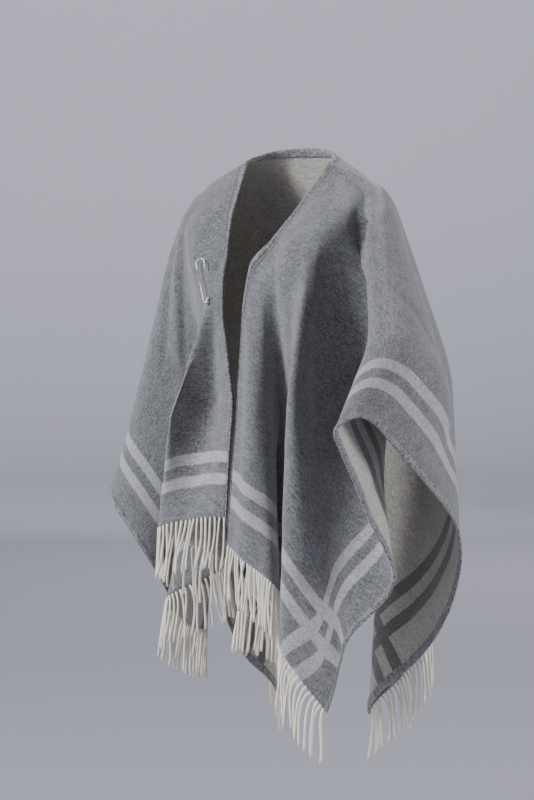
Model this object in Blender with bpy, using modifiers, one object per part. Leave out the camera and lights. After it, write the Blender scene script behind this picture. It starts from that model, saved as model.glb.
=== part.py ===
"""A woven wool cape with an open front, in its worn form. Metres, +Z up.

The wearer faces -Y, with the left arm at +X. The origin lies between the two sides of the neck, on the
shoulder line, where the wearer's shoulders hold the cape up. The cloth is one rectangle with a V neck and
a slit down the front. It is placed by fall lines, which run on the flat cut from the neck's middle to the
cut edge. A short table says where each fold's line passes an arm or the body and where it ends.
"""

from collections import namedtuple

import bpy
import numpy as np

# The flat cut.
HALF_WIDTH = 0.78  # from the slit to a side edge
HALF_LENGTH = 0.70  # from the shoulder line to a hem
NECK_HALF = 0.09  # half of the neck's width, on the shoulder line
NECK_FRONT = 0.22  # the V's depth
NECK_BACK = 0.03
WALL = 0.0025
SEAM_GAP = 0.0006  # between the halves, on the shoulder line
LAID_GAP = 0.0004  # between the cloth and what is turned or pinned on it

# The turned edges.
NECK_TURN = 0.18  # the neck hem's width, as a share of the distance from the neck's middle
NECK_TURN_LEAST = 0.015
SIDE_TURN = 0.015  # the side hem's width, as a share of the half width
TURNED_WALL = 0.0015

# The fringe.
STRAND_PITCH = 0.0156
STRAND_WIDTH = 0.0042
STRAND_LENGTH = 0.090
STRAND_PULL = 0.6  # how far a strand turns from the cloth's own slope towards straight down
STRIP_DEPTH = 0.003
STRIP_GAP = 0.0008  # between the hem and the strip
PROBE = 0.01  # how far past the cloth a direction is read
DOWN = np.array([0.0, 0.0, -1.0])
STRIP_THICK = 0.0024

# The pin, laid on the right front. The tables are in metres across, up and off the cloth.
PIN_WIRE = 0.001  # the wire's radius
PIN_LIFT = 0.0014  # from the cloth's outer face to the lowest wire's middle
PIN_FOOT_CUT = (-0.062, 0.268)  # the coil's middle on the flat cut, across and down
PIN_HEAD_CUT = (-0.094, 0.196)  # the clasp's middle
COIL_RADIUS = 0.0032
COIL_TURNS = 1.5
COIL_POINTS = 16
COIL_RISE = 0.0026  # from one turn of the wire to the next
PIN_STUB = (0.0052, 0.009, 0.0)  # where the pointed leg goes into the cloth
PIN_LEG_TOP = (-0.0083, 0.0560, 0.0032)
CLASP_RADIUS = 0.0013
CLASP_PATH = [
    (-0.0083, 0.0570, 0.0032),
    (-0.0088, 0.0690, 0.0032),
    (-0.0072, 0.0730, 0.0032),
    (-0.0030, 0.0748, 0.0032),
    (0.0030, 0.0748, 0.0032),
    (0.0072, 0.0730, 0.0032),
    (0.0088, 0.0690, 0.0030),
    (0.0083, 0.0570, 0.0028),
]
CLASP_WIDTHS = (1, 1, 0.6, 0.5, 0.5, 0.6, 1, 1)  # as shares of its radius

COLUMN_STEP = 0.047  # along the cut edge
BODY_ROWS = 13  # between the neck hem and the side hem

# Distances along the cut edge, from the slit's foot on the left round to its foot on the right.
FRONT_CORNER_LEFT = HALF_WIDTH
SHOULDER_LEFT = FRONT_CORNER_LEFT + HALF_LENGTH
BACK_CORNER_LEFT = SHOULDER_LEFT + HALF_LENGTH
BACK_MIDDLE = BACK_CORNER_LEFT + HALF_WIDTH
BACK_CORNER_RIGHT = BACK_MIDDLE + HALF_WIDTH
SHOULDER_RIGHT = BACK_CORNER_RIGHT + HALF_LENGTH
FRONT_CORNER_RIGHT = SHOULDER_RIGHT + HALF_LENGTH
ALL_ROUND = FRONT_CORNER_RIGHT + HALF_WIDTH

# Where the cloth rests on the shoulders, chest and back, by the fall line's turn from the slit in degrees.
Rest = namedtuple("Rest", "turn x y z")
SHOULDERS = [
    Rest(0, 0.010, -0.140, -0.245),
    Rest(45, 0.140, -0.118, -0.130),
    Rest(90, 0.188, 0.000, -0.054),
    Rest(135, 0.145, 0.098, -0.085),
    Rest(180, 0.000, 0.115, -0.100),
    Rest(225, -0.140, 0.098, -0.085),
    Rest(270, -0.184, 0.000, -0.052),
    Rest(315, -0.137, -0.100, -0.130),
    Rest(360, -0.050, -0.122, -0.260),
]

# The neck edge from the V's foot up to the neck's side, by the share of the V's length from its foot.
NECK_SIDE_POINT = (NECK_HALF, 0.0, 0.0)
LEFT_V = [(0.0, (0.012, -0.121, -0.176)), (0.5, (0.057, -0.072, -0.098)), (1.0, NECK_SIDE_POINT)]
RIGHT_V = [(0.0, (-0.051, -0.116, -0.200)), (0.5, (-0.062, -0.078, -0.095)), (1.0, (-NECK_HALF, 0.0, 0.0))]
BACK_NECK_Y = 0.056
BACK_NECK_Z = 0.022

# Each fold's line: its place on the cut edge, its knee on the arm or body, and its end on the edge.
Fold = namedtuple("Fold", "edge knee_x knee_y knee_z end_x end_y end_z")
FOLDS = [
    # The left front: the slit, then three layers, then the long ridge below the forearm.
    Fold(0.000, 0.010, -0.157, -0.440, -0.002, -0.167, -0.659),
    Fold(0.085, 0.053, -0.167, -0.440, 0.061, -0.172, -0.693),
    Fold(0.155, 0.066, -0.140, -0.440, 0.092, -0.160, -0.722),
    Fold(0.195, 0.059, -0.118, -0.440, 0.080, -0.130, -0.744),
    Fold(0.275, 0.055, -0.094, -0.440, -0.012, -0.122, -0.762),
    Fold(0.335, 0.072, -0.092, -0.440, -0.012, -0.092, -0.772),
    Fold(0.450, 0.108, -0.118, -0.430, 0.085, -0.085, -0.790),
    Fold(0.520, 0.125, -0.156, -0.418, 0.125, -0.130, -0.797),
    Fold(0.650, 0.160, -0.206, -0.397, 0.192, -0.268, -0.804),
    Fold(0.780, 0.176, -0.176, -0.420, 0.270, -0.246, -0.905),
    Fold(0.860, 0.176, -0.142, -0.425, 0.278, -0.217, -0.825),
    Fold(0.930, 0.190, -0.098, -0.430, 0.288, -0.205, -0.782),
    Fold(1.020, 0.222, -0.072, -0.435, 0.338, -0.155, -0.700),
    Fold(1.150, 0.286, -0.095, -0.430, 0.349, -0.247, -0.565),
    Fold(1.270, 0.285, -0.125, -0.330, 0.345, -0.312, -0.455),
    # Over the left forearm, the elbow and down the back of the arm.
    Fold(1.320, 0.316, -0.200, -0.306, 0.346, -0.325, -0.428),
    Fold(1.370, 0.354, -0.214, -0.302, 0.362, -0.297, -0.408),
    Fold(1.425, 0.380, -0.166, -0.315, 0.372, -0.262, -0.418),
    Fold(1.480, 0.388, -0.115, -0.360, 0.378, -0.225, -0.449),
    Fold(1.570, 0.378, -0.055, -0.412, 0.386, -0.157, -0.508),
    Fold(1.650, 0.347, -0.007, -0.436, 0.390, -0.094, -0.562),
    Fold(1.750, 0.293, 0.064, -0.350, 0.386, -0.034, -0.622),
    Fold(1.900, 0.262, 0.095, -0.385, 0.336, 0.009, -0.765),
    Fold(2.040, 0.215, 0.112, -0.420, 0.212, 0.072, -0.885),
    Fold(2.110, 0.173, 0.116, -0.440, 0.145, 0.083, -0.935),
    Fold(2.180, 0.130, 0.120, -0.460, 0.094, 0.115, -0.989),
    # The back.
    Fold(2.270, 0.155, 0.140, -0.447, 0.140, 0.148, -0.925),
    Fold(2.360, 0.179, 0.160, -0.433, 0.188, 0.160, -0.855),
    Fold(2.405, 0.176, 0.165, -0.426, 0.180, 0.185, -0.832),
    Fold(2.500, 0.142, 0.165, -0.413, 0.125, 0.193, -0.775),
    Fold(2.550, 0.131, 0.170, -0.408, 0.115, 0.217, -0.752),
    Fold(2.650, 0.118, 0.187, -0.401, 0.125, 0.268, -0.708),
    Fold(2.700, 0.103, 0.184, -0.400, 0.100, 0.275, -0.692),
    Fold(2.820, 0.055, 0.160, -0.400, 0.050, 0.165, -0.660),
    Fold(2.960, 0.000, 0.180, -0.390, 0.000, 0.235, -0.645),
    Fold(3.100, -0.055, 0.160, -0.400, -0.050, 0.165, -0.665),
    Fold(3.220, -0.103, 0.184, -0.400, -0.102, 0.288, -0.695),
    Fold(3.270, -0.119, 0.187, -0.401, -0.132, 0.284, -0.711),
    Fold(3.370, -0.139, 0.170, -0.408, -0.120, 0.230, -0.765),
    Fold(3.420, -0.151, 0.166, -0.412, -0.138, 0.205, -0.790),
    Fold(3.530, -0.182, 0.169, -0.426, -0.205, 0.240, -0.862),
    Fold(3.580, -0.189, 0.167, -0.433, -0.208, 0.212, -0.888),
    Fold(3.740, -0.185, 0.140, -0.460, -0.148, 0.160, -0.985),
    # The right arm, which hangs at the side.
    Fold(3.870, -0.215, 0.135, -0.430, -0.200, 0.120, -0.912),
    Fold(4.020, -0.250, 0.120, -0.400, -0.288, 0.150, -0.805),
    Fold(4.160, -0.288, 0.112, -0.385, -0.372, 0.205, -0.755),
    Fold(4.300, -0.312, 0.075, -0.370, -0.392, 0.115, -0.685),
    Fold(4.440, -0.318, 0.025, -0.360, -0.385, 0.020, -0.625),
    Fold(4.570, -0.302, -0.026, -0.362, -0.366, -0.040, -0.590),
    Fold(4.680, -0.271, -0.066, -0.375, -0.331, -0.092, -0.618),
    Fold(4.780, -0.228, -0.053, -0.390, -0.283, -0.088, -0.680),
    Fold(4.880, -0.194, -0.039, -0.405, -0.258, -0.055, -0.748),
    Fold(4.950, -0.178, -0.027, -0.415, -0.257, -0.017, -0.800),
    Fold(5.020, -0.171, -0.018, -0.425, -0.267, 0.033, -0.840),
    Fold(5.080, -0.167, -0.010, -0.433, -0.280, 0.081, -0.868),
    # The right front: its corner, then two layers, then the ridge beside the slit.
    Fold(5.140, -0.164, -0.007, -0.440, -0.284, 0.112, -0.885),
    Fold(5.210, -0.154, -0.010, -0.440, -0.258, 0.088, -0.874),
    Fold(5.320, -0.145, -0.021, -0.440, -0.240, 0.020, -0.850),
    Fold(5.470, -0.145, -0.046, -0.440, -0.217, -0.070, -0.784),
    Fold(5.590, -0.144, -0.069, -0.440, -0.112, -0.045, -0.725),
    Fold(5.635, -0.142, -0.086, -0.440, -0.088, -0.063, -0.705),
    Fold(5.680, -0.142, -0.104, -0.439, -0.100, -0.095, -0.690),
    Fold(5.760, -0.132, -0.163, -0.435, -0.169, -0.143, -0.651),
    Fold(5.840, -0.092, -0.098, -0.425, -0.105, -0.155, -0.625),
    Fold(5.920, -0.026, -0.124, -0.412, -0.026, -0.140, -0.616),
]


def through(places, values, at):
    """A smooth curve through values at rising places, read at `at`. Each value's slope is that of the
    parabola through it and its two neighbours, and past its ends the curve runs on straight. Values with
    three axes hold a column for each `at`.
    """
    steps = np.diff(places)
    wide = steps.reshape((-1,) + (1,) * (values.ndim - 1))
    rise = np.diff(values, axis=0) / wide
    middle = (wide[1:] * rise[:-1] + wide[:-1] * rise[1:]) / (wide[1:] + wide[:-1])
    slope = np.concatenate([rise[:1], middle, rise[-1:]])
    cell = np.clip(np.searchsorted(places, at, side="right") - 1, 0, len(steps) - 1)
    along = (at - places[cell]) / steps[cell]
    near, far = cell, cell + 1
    if values.ndim == 3:
        column = np.arange(len(at))
        near, far = (near, column), (far, column)
    inside = np.clip(along, 0, 1)[:, None]
    step = steps[cell][:, None]
    curve = (
        values[near] * (1 + 2 * inside) * (1 - inside) ** 2
        + slope[near] * step * inside * (1 - inside) ** 2
        + values[far] * (3 - 2 * inside) * inside**2
        + slope[far] * step * (inside - 1) * inside**2
    )
    past = (along - np.clip(along, 0, 1))[:, None] * step
    return curve + past * np.where(past < 0, slope[near], slope[far])


def turn_of(edge):
    """The turn of the fall line that ends at this distance along the cut edge, in radians."""
    edge = np.asarray(edge, float)
    left = np.minimum(edge, ALL_ROUND - edge)
    corners = [0, FRONT_CORNER_LEFT, BACK_CORNER_LEFT, BACK_MIDDLE]
    across = np.interp(left, corners, [0, HALF_WIDTH, HALF_WIDTH, 0])
    down = np.interp(left, corners, [HALF_LENGTH, HALF_LENGTH, -HALF_LENGTH, -HALF_LENGTH])
    turn = np.arctan2(across, down)
    return np.where(edge <= BACK_MIDDLE, turn, 2 * np.pi - turn)


def neck_reach(turn):
    """The distance from the neck's middle to the neck edge: two straight sides of a V, then half an oval."""
    sine, cosine = np.abs(np.sin(turn)), np.cos(turn)
    front = 1 / (sine / NECK_HALF + np.maximum(cosine, 0) / NECK_FRONT)
    back = 1 / np.hypot(sine / NECK_HALF, cosine / NECK_BACK)
    return np.where(cosine >= 0, front, back)


def cut_reach(turn):
    """The distance from the neck's middle to the cut edge."""
    return 1 / np.maximum(np.abs(np.sin(turn)) / HALF_WIDTH, np.abs(np.cos(turn)) / HALF_LENGTH)


def neck_point(turn):
    """Where the neck edge lies on the wearer, at each turn."""
    turn = np.atleast_1d(np.asarray(turn, float))
    share = 1 - neck_reach(turn) * np.cos(turn) / NECK_FRONT
    points = np.zeros((len(turn), 3))
    for side, table in ((turn <= np.pi, LEFT_V), (turn > np.pi, RIGHT_V)):
        places = np.array([row[0] for row in table])
        values = np.array([row[1] for row in table])
        points[side] = through(places, values, np.clip(share, 0, 1)[side])
    back = np.cos(turn) < 0
    swing = np.abs(np.cos(turn)) * neck_reach(turn) / NECK_BACK
    oval = np.stack([neck_reach(turn) * np.sin(turn), BACK_NECK_Y * swing, BACK_NECK_Z * swing], 1)
    points[back] = oval[back]
    return points


def fall_lines():
    """Each fold's turn, the distances of its stations from the neck's middle, and their points.

    A line is held at its neck, its rest, its knee and its end. Between two holds cloth hangs nearly straight,
    so each long span gets two more stations, a share LOOSENESS of the way from its chord to a smooth curve.
    """
    turns = turn_of([fold.edge for fold in FOLDS])
    rest_turns = np.radians([rest.turn for rest in SHOULDERS])
    rest_points = np.array([rest[1:] for rest in SHOULDERS])
    folds = np.array(FOLDS)
    rests = through(rest_turns, rest_points, turns)
    stations = np.stack([neck_point(turns), rests, folds[:, 1:4], folds[:, 4:7]], 1)
    lengths = np.linalg.norm(np.diff(stations, axis=1), axis=2)
    share = np.cumsum(lengths, 1) / lengths.sum(1, keepdims=True)
    near, far = neck_reach(turns)[:, None], cut_reach(turns)[:, None]
    reaches = np.concatenate([near, near + share * (far - near)], 1)
    more_reaches, more_stations = [], []
    for reach, points in zip(reaches, stations):
        places = np.interp(SPAN_STATIONS, range(len(reach)), reach)
        chord = np.stack([np.interp(places, reach, column) for column in points.T], 1)
        more_reaches.append(places)
        more_stations.append(chord + LOOSENESS * (through(reach, points, places) - chord))
    return turns, np.array(more_reaches), np.array(more_stations)


SPAN_STATIONS = (0, 1, 1.3, 1.7, 2, 2.3, 2.7, 3)  # neck, rest, two more, knee, two more, end
LOOSENESS = 0.35
TURNS, REACHES, STATIONS = fall_lines()


def worn(turn, reach):
    """The inner face's points at these turns and distances from the neck's middle on the flat cut."""
    turn, reach = np.broadcast_arrays(np.asarray(turn, float), np.asarray(reach, float))
    flat_turn, flat_reach = turn.ravel(), reach.ravel()
    lines = np.stack([through(r, s, flat_reach) for r, s in zip(REACHES, STATIONS)])
    return through(TURNS, lines, flat_turn).reshape(turn.shape + (3,))


def outward(turn, reach, step=0.004):
    """The cloth's unit direction outwards, from the slopes of its points down and round."""
    down = worn(turn, reach + step) - worn(turn, reach - step)
    swing = step / np.maximum(reach, NECK_HALF)
    round_it = worn(turn + swing, reach) - worn(turn - swing, reach)
    normal = np.cross(down, round_it)
    return normal / np.linalg.norm(normal, axis=-1, keepdims=True)


def on_cut(across, down):
    """The turn and reach of a point of the flat cut."""
    across, down = np.broadcast_arrays(np.asarray(across, float), np.asarray(down, float))
    return np.arctan2(across, down) % (2 * np.pi), np.hypot(across, down)


def columns_between(first, last):
    """Places along the cut edge: the corners, the shoulder line, every fold, and steps between them."""
    folds = [fold.edge for fold in FOLDS if first + LAID_GAP < fold.edge < last - LAID_GAP]
    stops = [first, *folds, last]
    runs = []
    for start, end in zip(stops, stops[1:]):
        runs.append(np.linspace(start, end, int(np.ceil((end - start) / COLUMN_STEP)) + 1)[:-1])
    return np.concatenate([*runs, [last]])


def neck_turn_reach(turn):
    """How far the neck hem reaches from the neck's middle."""
    near = neck_reach(turn)
    return np.maximum(near * (1 + NECK_TURN), near + NECK_TURN_LEAST)


def side_turn_reach(turn):
    """How near the neck's middle a side hem reaches."""
    return (1 - SIDE_TURN) * cut_reach(turn)


def material(name, colour, roughness, metallic=0.0):
    """A Principled material."""
    made = bpy.data.materials.new(name)
    made.use_nodes = True
    shader = made.node_tree.nodes["Principled BSDF"]
    shader.inputs["Base Color"].default_value = (*colour, 1)
    shader.inputs["Roughness"].default_value = roughness
    shader.inputs["Metallic"].default_value = metallic
    return made


def mesh_object(name, points, faces, finish):
    """An object in the cape's collection, from its points and faces."""
    mesh = bpy.data.meshes.new(name)
    mesh.from_pydata(np.asarray(points).reshape(-1, 3).tolist(), [], np.asarray(faces).tolist())
    mesh.materials.append(finish)
    piece = bpy.data.objects.new(name, mesh)
    cape.objects.link(piece)
    return piece


def grid_faces(rows, columns):
    """The quads of a grid of points, facing outwards where rows run down and columns run round."""
    first = (np.arange(rows - 1)[:, None] * columns + np.arange(columns - 1)).ravel()
    return np.stack([first, first + columns, first + columns + 1, first + 1], 1)


def wall(name, points, thickness, side, finish):
    """A grid of points with a wall's thickness: side 1 thickens it outwards, and -1 inwards."""
    piece = mesh_object(name, points, grid_faces(*points.shape[:2]), finish)
    piece.data.shade_smooth()
    solid = piece.modifiers.new("wall", "SOLIDIFY")
    solid.thickness = thickness
    solid.offset = side
    return piece


def panel(name, first, last, finish):
    """A half of the cape between two places on the cut edge, parted from the other at the shoulder line."""
    turn = turn_of(columns_between(first, last))
    near, far = neck_turn_reach(turn), side_turn_reach(turn)
    body = near + np.linspace(0, 1, BODY_ROWS)[:, None] * (far - near)
    reach = np.concatenate([neck_reach(turn)[None], body, cut_reach(turn)[None]])
    across, down = reach * np.sin(turn), reach * np.cos(turn)
    on_shoulder = np.isclose(np.cos(turn), 0, atol=1e-9)
    front = np.cos(turn).mean() > 0
    down = down + on_shoulder * SEAM_GAP / 2 * (1 if front else -1)
    shifted_turn, shifted_reach = on_cut(across, down)
    shifted_turn = np.where(on_shoulder, shifted_turn, turn)
    return wall(name, worn(shifted_turn, shifted_reach), WALL, 1, finish)


def laid_strip(name, edges, inner_reach, outer_reach, finish):
    """A turned edge: a strip of the panels' own points, moved just inside them."""
    turn = turn_of(edges)
    reach = np.stack([inner_reach(turn), outer_reach(turn)])
    turns = np.broadcast_to(turn, reach.shape)
    points = worn(turns, reach) - LAID_GAP * outward(turns, reach)
    return wall(name, points, TURNED_WALL, -1, finish)


def fringe(name, first, last, finish):
    """Square strands fused to a narrow strip that runs just below the hem."""
    whole = turn_of(columns_between(0, ALL_ROUND))
    out = edge_normals(worn(whole, side_turn_reach(whole)), worn(whole, cut_reach(whole)))
    columns = columns_between(first, last)
    start = np.searchsorted(columns_between(0, ALL_ROUND), first - LAID_GAP)
    out = out[start : start + len(columns)]
    turn = turn_of(columns)
    down = HALF_LENGTH if np.cos(turn).mean() > 0 else -HALF_LENGTH
    across = np.interp(columns, [first, last], cut_reach(turn[[0, -1]]) * np.sin(turn[[0, -1]]))
    hem = worn(turn, cut_reach(turn))
    fall = worn(*on_cut(across, down + np.sign(down) * PROBE)) - hem
    fall = unit(fall - (fall * out).sum(1, keepdims=True) * out)
    line = unit(worn(turn, cut_reach(turn) + PROBE) - hem)

    # The strip's rings stand at both sides of each strand's root.
    count = int((last - first) / STRAND_PITCH)
    middles = first + (np.arange(count) + 0.5) * (last - first) / count
    sides = np.stack([middles - STRAND_WIDTH / 2, middles + STRAND_WIDTH / 2], 1).ravel()
    places = np.concatenate([[first + LAID_GAP], sides, [last - LAID_GAP]])
    hem, fall, out, line = (
        np.stack([np.interp(places, columns, v[:, i]) for i in range(3)], 1) for v in (hem, fall, out, line)
    )
    top, bottom = hem + fall * STRIP_GAP, hem + fall * (STRIP_GAP + STRIP_DEPTH)
    strip = np.stack([top, top + out * STRIP_THICK, bottom + out * STRIP_THICK, bottom], 1).reshape(-1, 3)
    faces = [[3, 2, 1, 0], [len(strip) - 4, len(strip) - 3, len(strip) - 2, len(strip) - 1]]
    for ring in range(len(places) - 1):
        bare = ring % 2 == 0  # between two strands, where the strip's lower face stays
        for side in range(4) if bare else (0, 1, 3):
            near, far = 4 * ring + side, 4 * ring + (side + 1) % 4
            faces.append([near, far, far + 4, near + 4])

    strands = []
    for strand in range(count):
        ring = 1 + 2 * strand
        root = [4 * ring + 2, 4 * ring + 3, 4 * ring + 7, 4 * ring + 6]
        way = unit(line[ring] + line[ring + 1] + STRAND_PULL * DOWN)
        strands.append(strip[root] + STRAND_LENGTH * way)
        tip = [len(strip) + 4 * strand + corner for corner in range(4)]
        faces += [[root[i], root[(i + 1) % 4], tip[(i + 1) % 4], tip[i]] for i in range(4)]
        faces.append(tip)
    return mesh_object(name, np.concatenate([strip, *strands]), faces, finish)


def unit(vectors):
    """The vectors at length 1."""
    return vectors / np.linalg.norm(vectors, axis=-1, keepdims=True)


def edge_normals(above, edge):
    """The outward direction at each point of a panel's edge, midway between its two neighbouring faces'."""
    fall = (edge - above)[1:] + (edge - above)[:-1]
    faces = unit(np.cross(fall, np.diff(edge, axis=0)))
    return unit(np.concatenate([faces[:1], faces]) + np.concatenate([faces, faces[-1:]]))


def pin_axes():
    """The coil's place on the right front, and the pin's three directions: across, up and off the cloth."""
    (foot, head) = (on_cut(*place) for place in (PIN_FOOT_CUT, PIN_HEAD_CUT))
    lifts = [outward(*place) for place in (foot, head)]
    origin, top = (worn(*place) + (WALL + PIN_LIFT) * lift for place, lift in zip((foot, head), lifts))
    up = unit(top - origin)
    off = unit(sum(lifts) - (sum(lifts) * up).sum() * up)
    return origin, np.stack([np.cross(up, off), up, off])


def wire(name, path, radius, widths, finish):
    """A round wire along a path in the pin's own directions."""
    origin, axes = pin_axes()
    points = origin + np.asarray(path) @ axes
    curve = bpy.data.curves.new(name, "CURVE")
    curve.dimensions = "3D"
    curve.bevel_depth = radius
    curve.bevel_resolution = 2
    curve.use_fill_caps = True
    spline = curve.splines.new("POLY")
    spline.points.add(len(points) - 1)
    for knot, point, width in zip(spline.points, points, widths):
        knot.co = (*point, 1)
        knot.radius = width
    curve.materials.append(finish)
    piece = bpy.data.objects.new(name, curve)
    cape.objects.link(piece)
    return piece


def pin_path():
    """The pin's wire: the stub of its pointed leg, the coil, then the long leg up to the clasp."""
    angle = -2 * np.pi * COIL_TURNS * np.linspace(0, 1, COIL_POINTS)
    rise = COIL_RISE * COIL_TURNS * np.linspace(0, 1, COIL_POINTS)
    coil = np.stack([COIL_RADIUS * np.cos(angle), COIL_RADIUS * np.sin(angle), rise], 1)
    return np.concatenate([[PIN_STUB], coil, [PIN_LEG_TOP]])


for old in list(bpy.data.objects):
    bpy.data.objects.remove(old)
cape = bpy.data.collections.new("open_wool_cape")
bpy.context.scene.collection.children.link(cape)

wool = material("grey_wool", (0.19, 0.195, 0.21), 0.95)
turned_wool = material("turned_wool", (0.13, 0.135, 0.145), 0.95)
ivory = material("ivory_fringe", (0.80, 0.77, 0.69), 0.9)
silver = material("silver_wire", (0.72, 0.72, 0.73), 0.25, 1.0)

panel("front_left", 0, SHOULDER_LEFT, wool)
panel("back", SHOULDER_LEFT, SHOULDER_RIGHT, wool)
panel("front_right", SHOULDER_RIGHT, ALL_ROUND, wool)

whole_edge = columns_between(0, ALL_ROUND)
laid_strip("neck_hem", whole_edge, neck_reach, neck_turn_reach, turned_wool)
for side, first, last in (
    ("left", FRONT_CORNER_LEFT, BACK_CORNER_LEFT),
    ("right", BACK_CORNER_RIGHT, FRONT_CORNER_RIGHT),
):
    laid_strip(f"side_hem_{side}", columns_between(first, last), side_turn_reach, cut_reach, turned_wool)

fringe("fringe_front_left", 0, FRONT_CORNER_LEFT, ivory)
fringe("fringe_back", BACK_CORNER_LEFT, BACK_CORNER_RIGHT, ivory)
fringe("fringe_front_right", FRONT_CORNER_RIGHT, ALL_ROUND, ivory)

path = pin_path()
wire("kilt_pin", path, PIN_WIRE, [1] * len(path), silver)
wire("pin_clasp", CLASP_PATH, CLASP_RADIUS, CLASP_WIDTHS, silver)
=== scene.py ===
# %% [markdown]
# # An open wool cape, worn and empty
# This lesson dresses the plain model of a fringed wool cape. The real one is a single rectangle of thick
# brushed cloth, grey outside and pale inside, with a V neck and a slit cut down its front. A wearer raises
# the left forearm under it, which gives it all of its folds. The wearer isn't shown, so the folds alone
# carry the form.
#
# The first cell loads the plain model, whose pieces are the frame that everything else is fitted to.

from collections import namedtuple
from functools import partial

import bmesh
import bpy
import numpy as np
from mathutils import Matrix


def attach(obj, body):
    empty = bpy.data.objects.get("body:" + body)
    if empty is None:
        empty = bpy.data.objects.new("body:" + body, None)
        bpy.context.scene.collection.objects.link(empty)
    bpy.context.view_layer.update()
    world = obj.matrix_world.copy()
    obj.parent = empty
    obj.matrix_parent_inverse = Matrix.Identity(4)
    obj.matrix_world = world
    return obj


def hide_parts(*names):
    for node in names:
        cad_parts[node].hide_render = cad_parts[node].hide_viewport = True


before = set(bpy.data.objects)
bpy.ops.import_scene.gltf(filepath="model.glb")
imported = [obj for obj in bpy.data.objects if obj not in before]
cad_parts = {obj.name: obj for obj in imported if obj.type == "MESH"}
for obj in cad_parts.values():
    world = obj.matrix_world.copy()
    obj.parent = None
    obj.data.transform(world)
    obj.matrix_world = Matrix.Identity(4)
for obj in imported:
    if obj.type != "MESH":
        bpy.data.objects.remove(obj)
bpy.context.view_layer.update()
print("plain pieces:", ", ".join(sorted(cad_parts)))

# %% [markdown]
# ## The flat cut
# Cloth is easiest to think about before it is worn, when it lies flat. Every point of the cape is named by
# two distances on the flat cut: how far it lies across from the slit, and how far down from the shoulder
# line. The back has distances down that are less than zero. A second name for the same point is its turn
# about the neck's middle, which starts at the slit and goes round by the left shoulder, and its reach from
# that middle.

# %% The cut's sizes
HALF_WIDTH = 0.78  # from the slit to a side edge
HALF_LENGTH = 0.70  # from the shoulder line to a hem
NECK_HALF = 0.09  # half of the neck's width, on the shoulder line
NECK_FRONT = 0.22  # the V's depth
NECK_BACK = 0.03
WALL = 0.0025  # the cloth's thickness

FRONT_CORNER_LEFT = HALF_WIDTH  # places along the cut edge, from the slit's foot round by the left
SHOULDER_LEFT = FRONT_CORNER_LEFT + HALF_LENGTH
BACK_CORNER_LEFT = SHOULDER_LEFT + HALF_LENGTH
BACK_MIDDLE = BACK_CORNER_LEFT + HALF_WIDTH
BACK_CORNER_RIGHT = BACK_MIDDLE + HALF_WIDTH
SHOULDER_RIGHT = BACK_CORNER_RIGHT + HALF_LENGTH
FRONT_CORNER_RIGHT = SHOULDER_RIGHT + HALF_LENGTH
ALL_ROUND = FRONT_CORNER_RIGHT + HALF_WIDTH
print(f"the cut is {2 * HALF_WIDTH:.2f} m wide and {2 * HALF_LENGTH:.2f} m long")


# %% From a place on the edge to a turn, and from a turn to a reach
def turn_of(edge):
    """The turn of the line from the neck's middle to this place on the cut edge, in radians."""
    edge = np.asarray(edge, float)
    left = np.minimum(edge, ALL_ROUND - edge)
    corners = [0, FRONT_CORNER_LEFT, BACK_CORNER_LEFT, BACK_MIDDLE]
    across = np.interp(left, corners, [0, HALF_WIDTH, HALF_WIDTH, 0])
    down = np.interp(left, corners, [HALF_LENGTH, HALF_LENGTH, -HALF_LENGTH, -HALF_LENGTH])
    turn = np.arctan2(across, down)
    return np.where(edge <= BACK_MIDDLE, turn, 2 * np.pi - turn)


def neck_reach(turn):
    """The distance from the neck's middle to the neck edge: two straight sides of a V, then half an oval."""
    sine, cosine = np.abs(np.sin(turn)), np.cos(turn)
    front = 1 / (sine / NECK_HALF + np.maximum(cosine, 0) / NECK_FRONT)
    back = 1 / np.hypot(sine / NECK_HALF, cosine / NECK_BACK)
    return np.where(cosine >= 0, front, back)


def cut_reach(turn):
    """The distance from the neck's middle to the cut edge, which is the nearer of a side and a hem."""
    return 1 / np.maximum(np.abs(np.sin(turn)) / HALF_WIDTH, np.abs(np.cos(turn)) / HALF_LENGTH)


def turn_and_reach(across, down, right):
    """The turn and reach of a flat point. Left points have turns from a radian before the slit, and right
    points have them to a radian past it, so that a point just over the slit stays on its own side.
    """
    swing = np.arctan2(across, down)
    left_turn = np.where(swing < -1, swing + 2 * np.pi, swing)
    right_turn = np.where(swing < 1, swing + 2 * np.pi, swing)
    return np.where(right, right_turn, left_turn), np.hypot(across, down)


print(f"from the neck's middle to a corner: {cut_reach(turn_of(FRONT_CORNER_LEFT)):.3f} m")

# %% [markdown]
# ## How the cape is worn
# A line drawn on the flat cape from the neck to the edge falls in a smooth curve when it is worn: over the
# shoulder, past an arm or the body at its knee, and down to its end. The tables below give such a line for
# every fold. They are the same ones that shaped the plain pieces, so the dressed cloth lies where those lie.
# The cloth could be simulated over a body instead, but its folds would then land where the solver leaves
# them, and here each fold has its place.

# %% Where the cloth rests, and where each fold falls
Rest = namedtuple("Rest", "turn x y z")
SHOULDERS = [
    Rest(0, 0.010, -0.140, -0.245),
    Rest(45, 0.140, -0.118, -0.130),
    Rest(90, 0.188, 0.000, -0.054),
    Rest(135, 0.145, 0.098, -0.085),
    Rest(180, 0.000, 0.115, -0.100),
    Rest(225, -0.140, 0.098, -0.085),
    Rest(270, -0.184, 0.000, -0.052),
    Rest(315, -0.137, -0.100, -0.130),
    Rest(360, -0.050, -0.122, -0.260),
]

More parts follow.
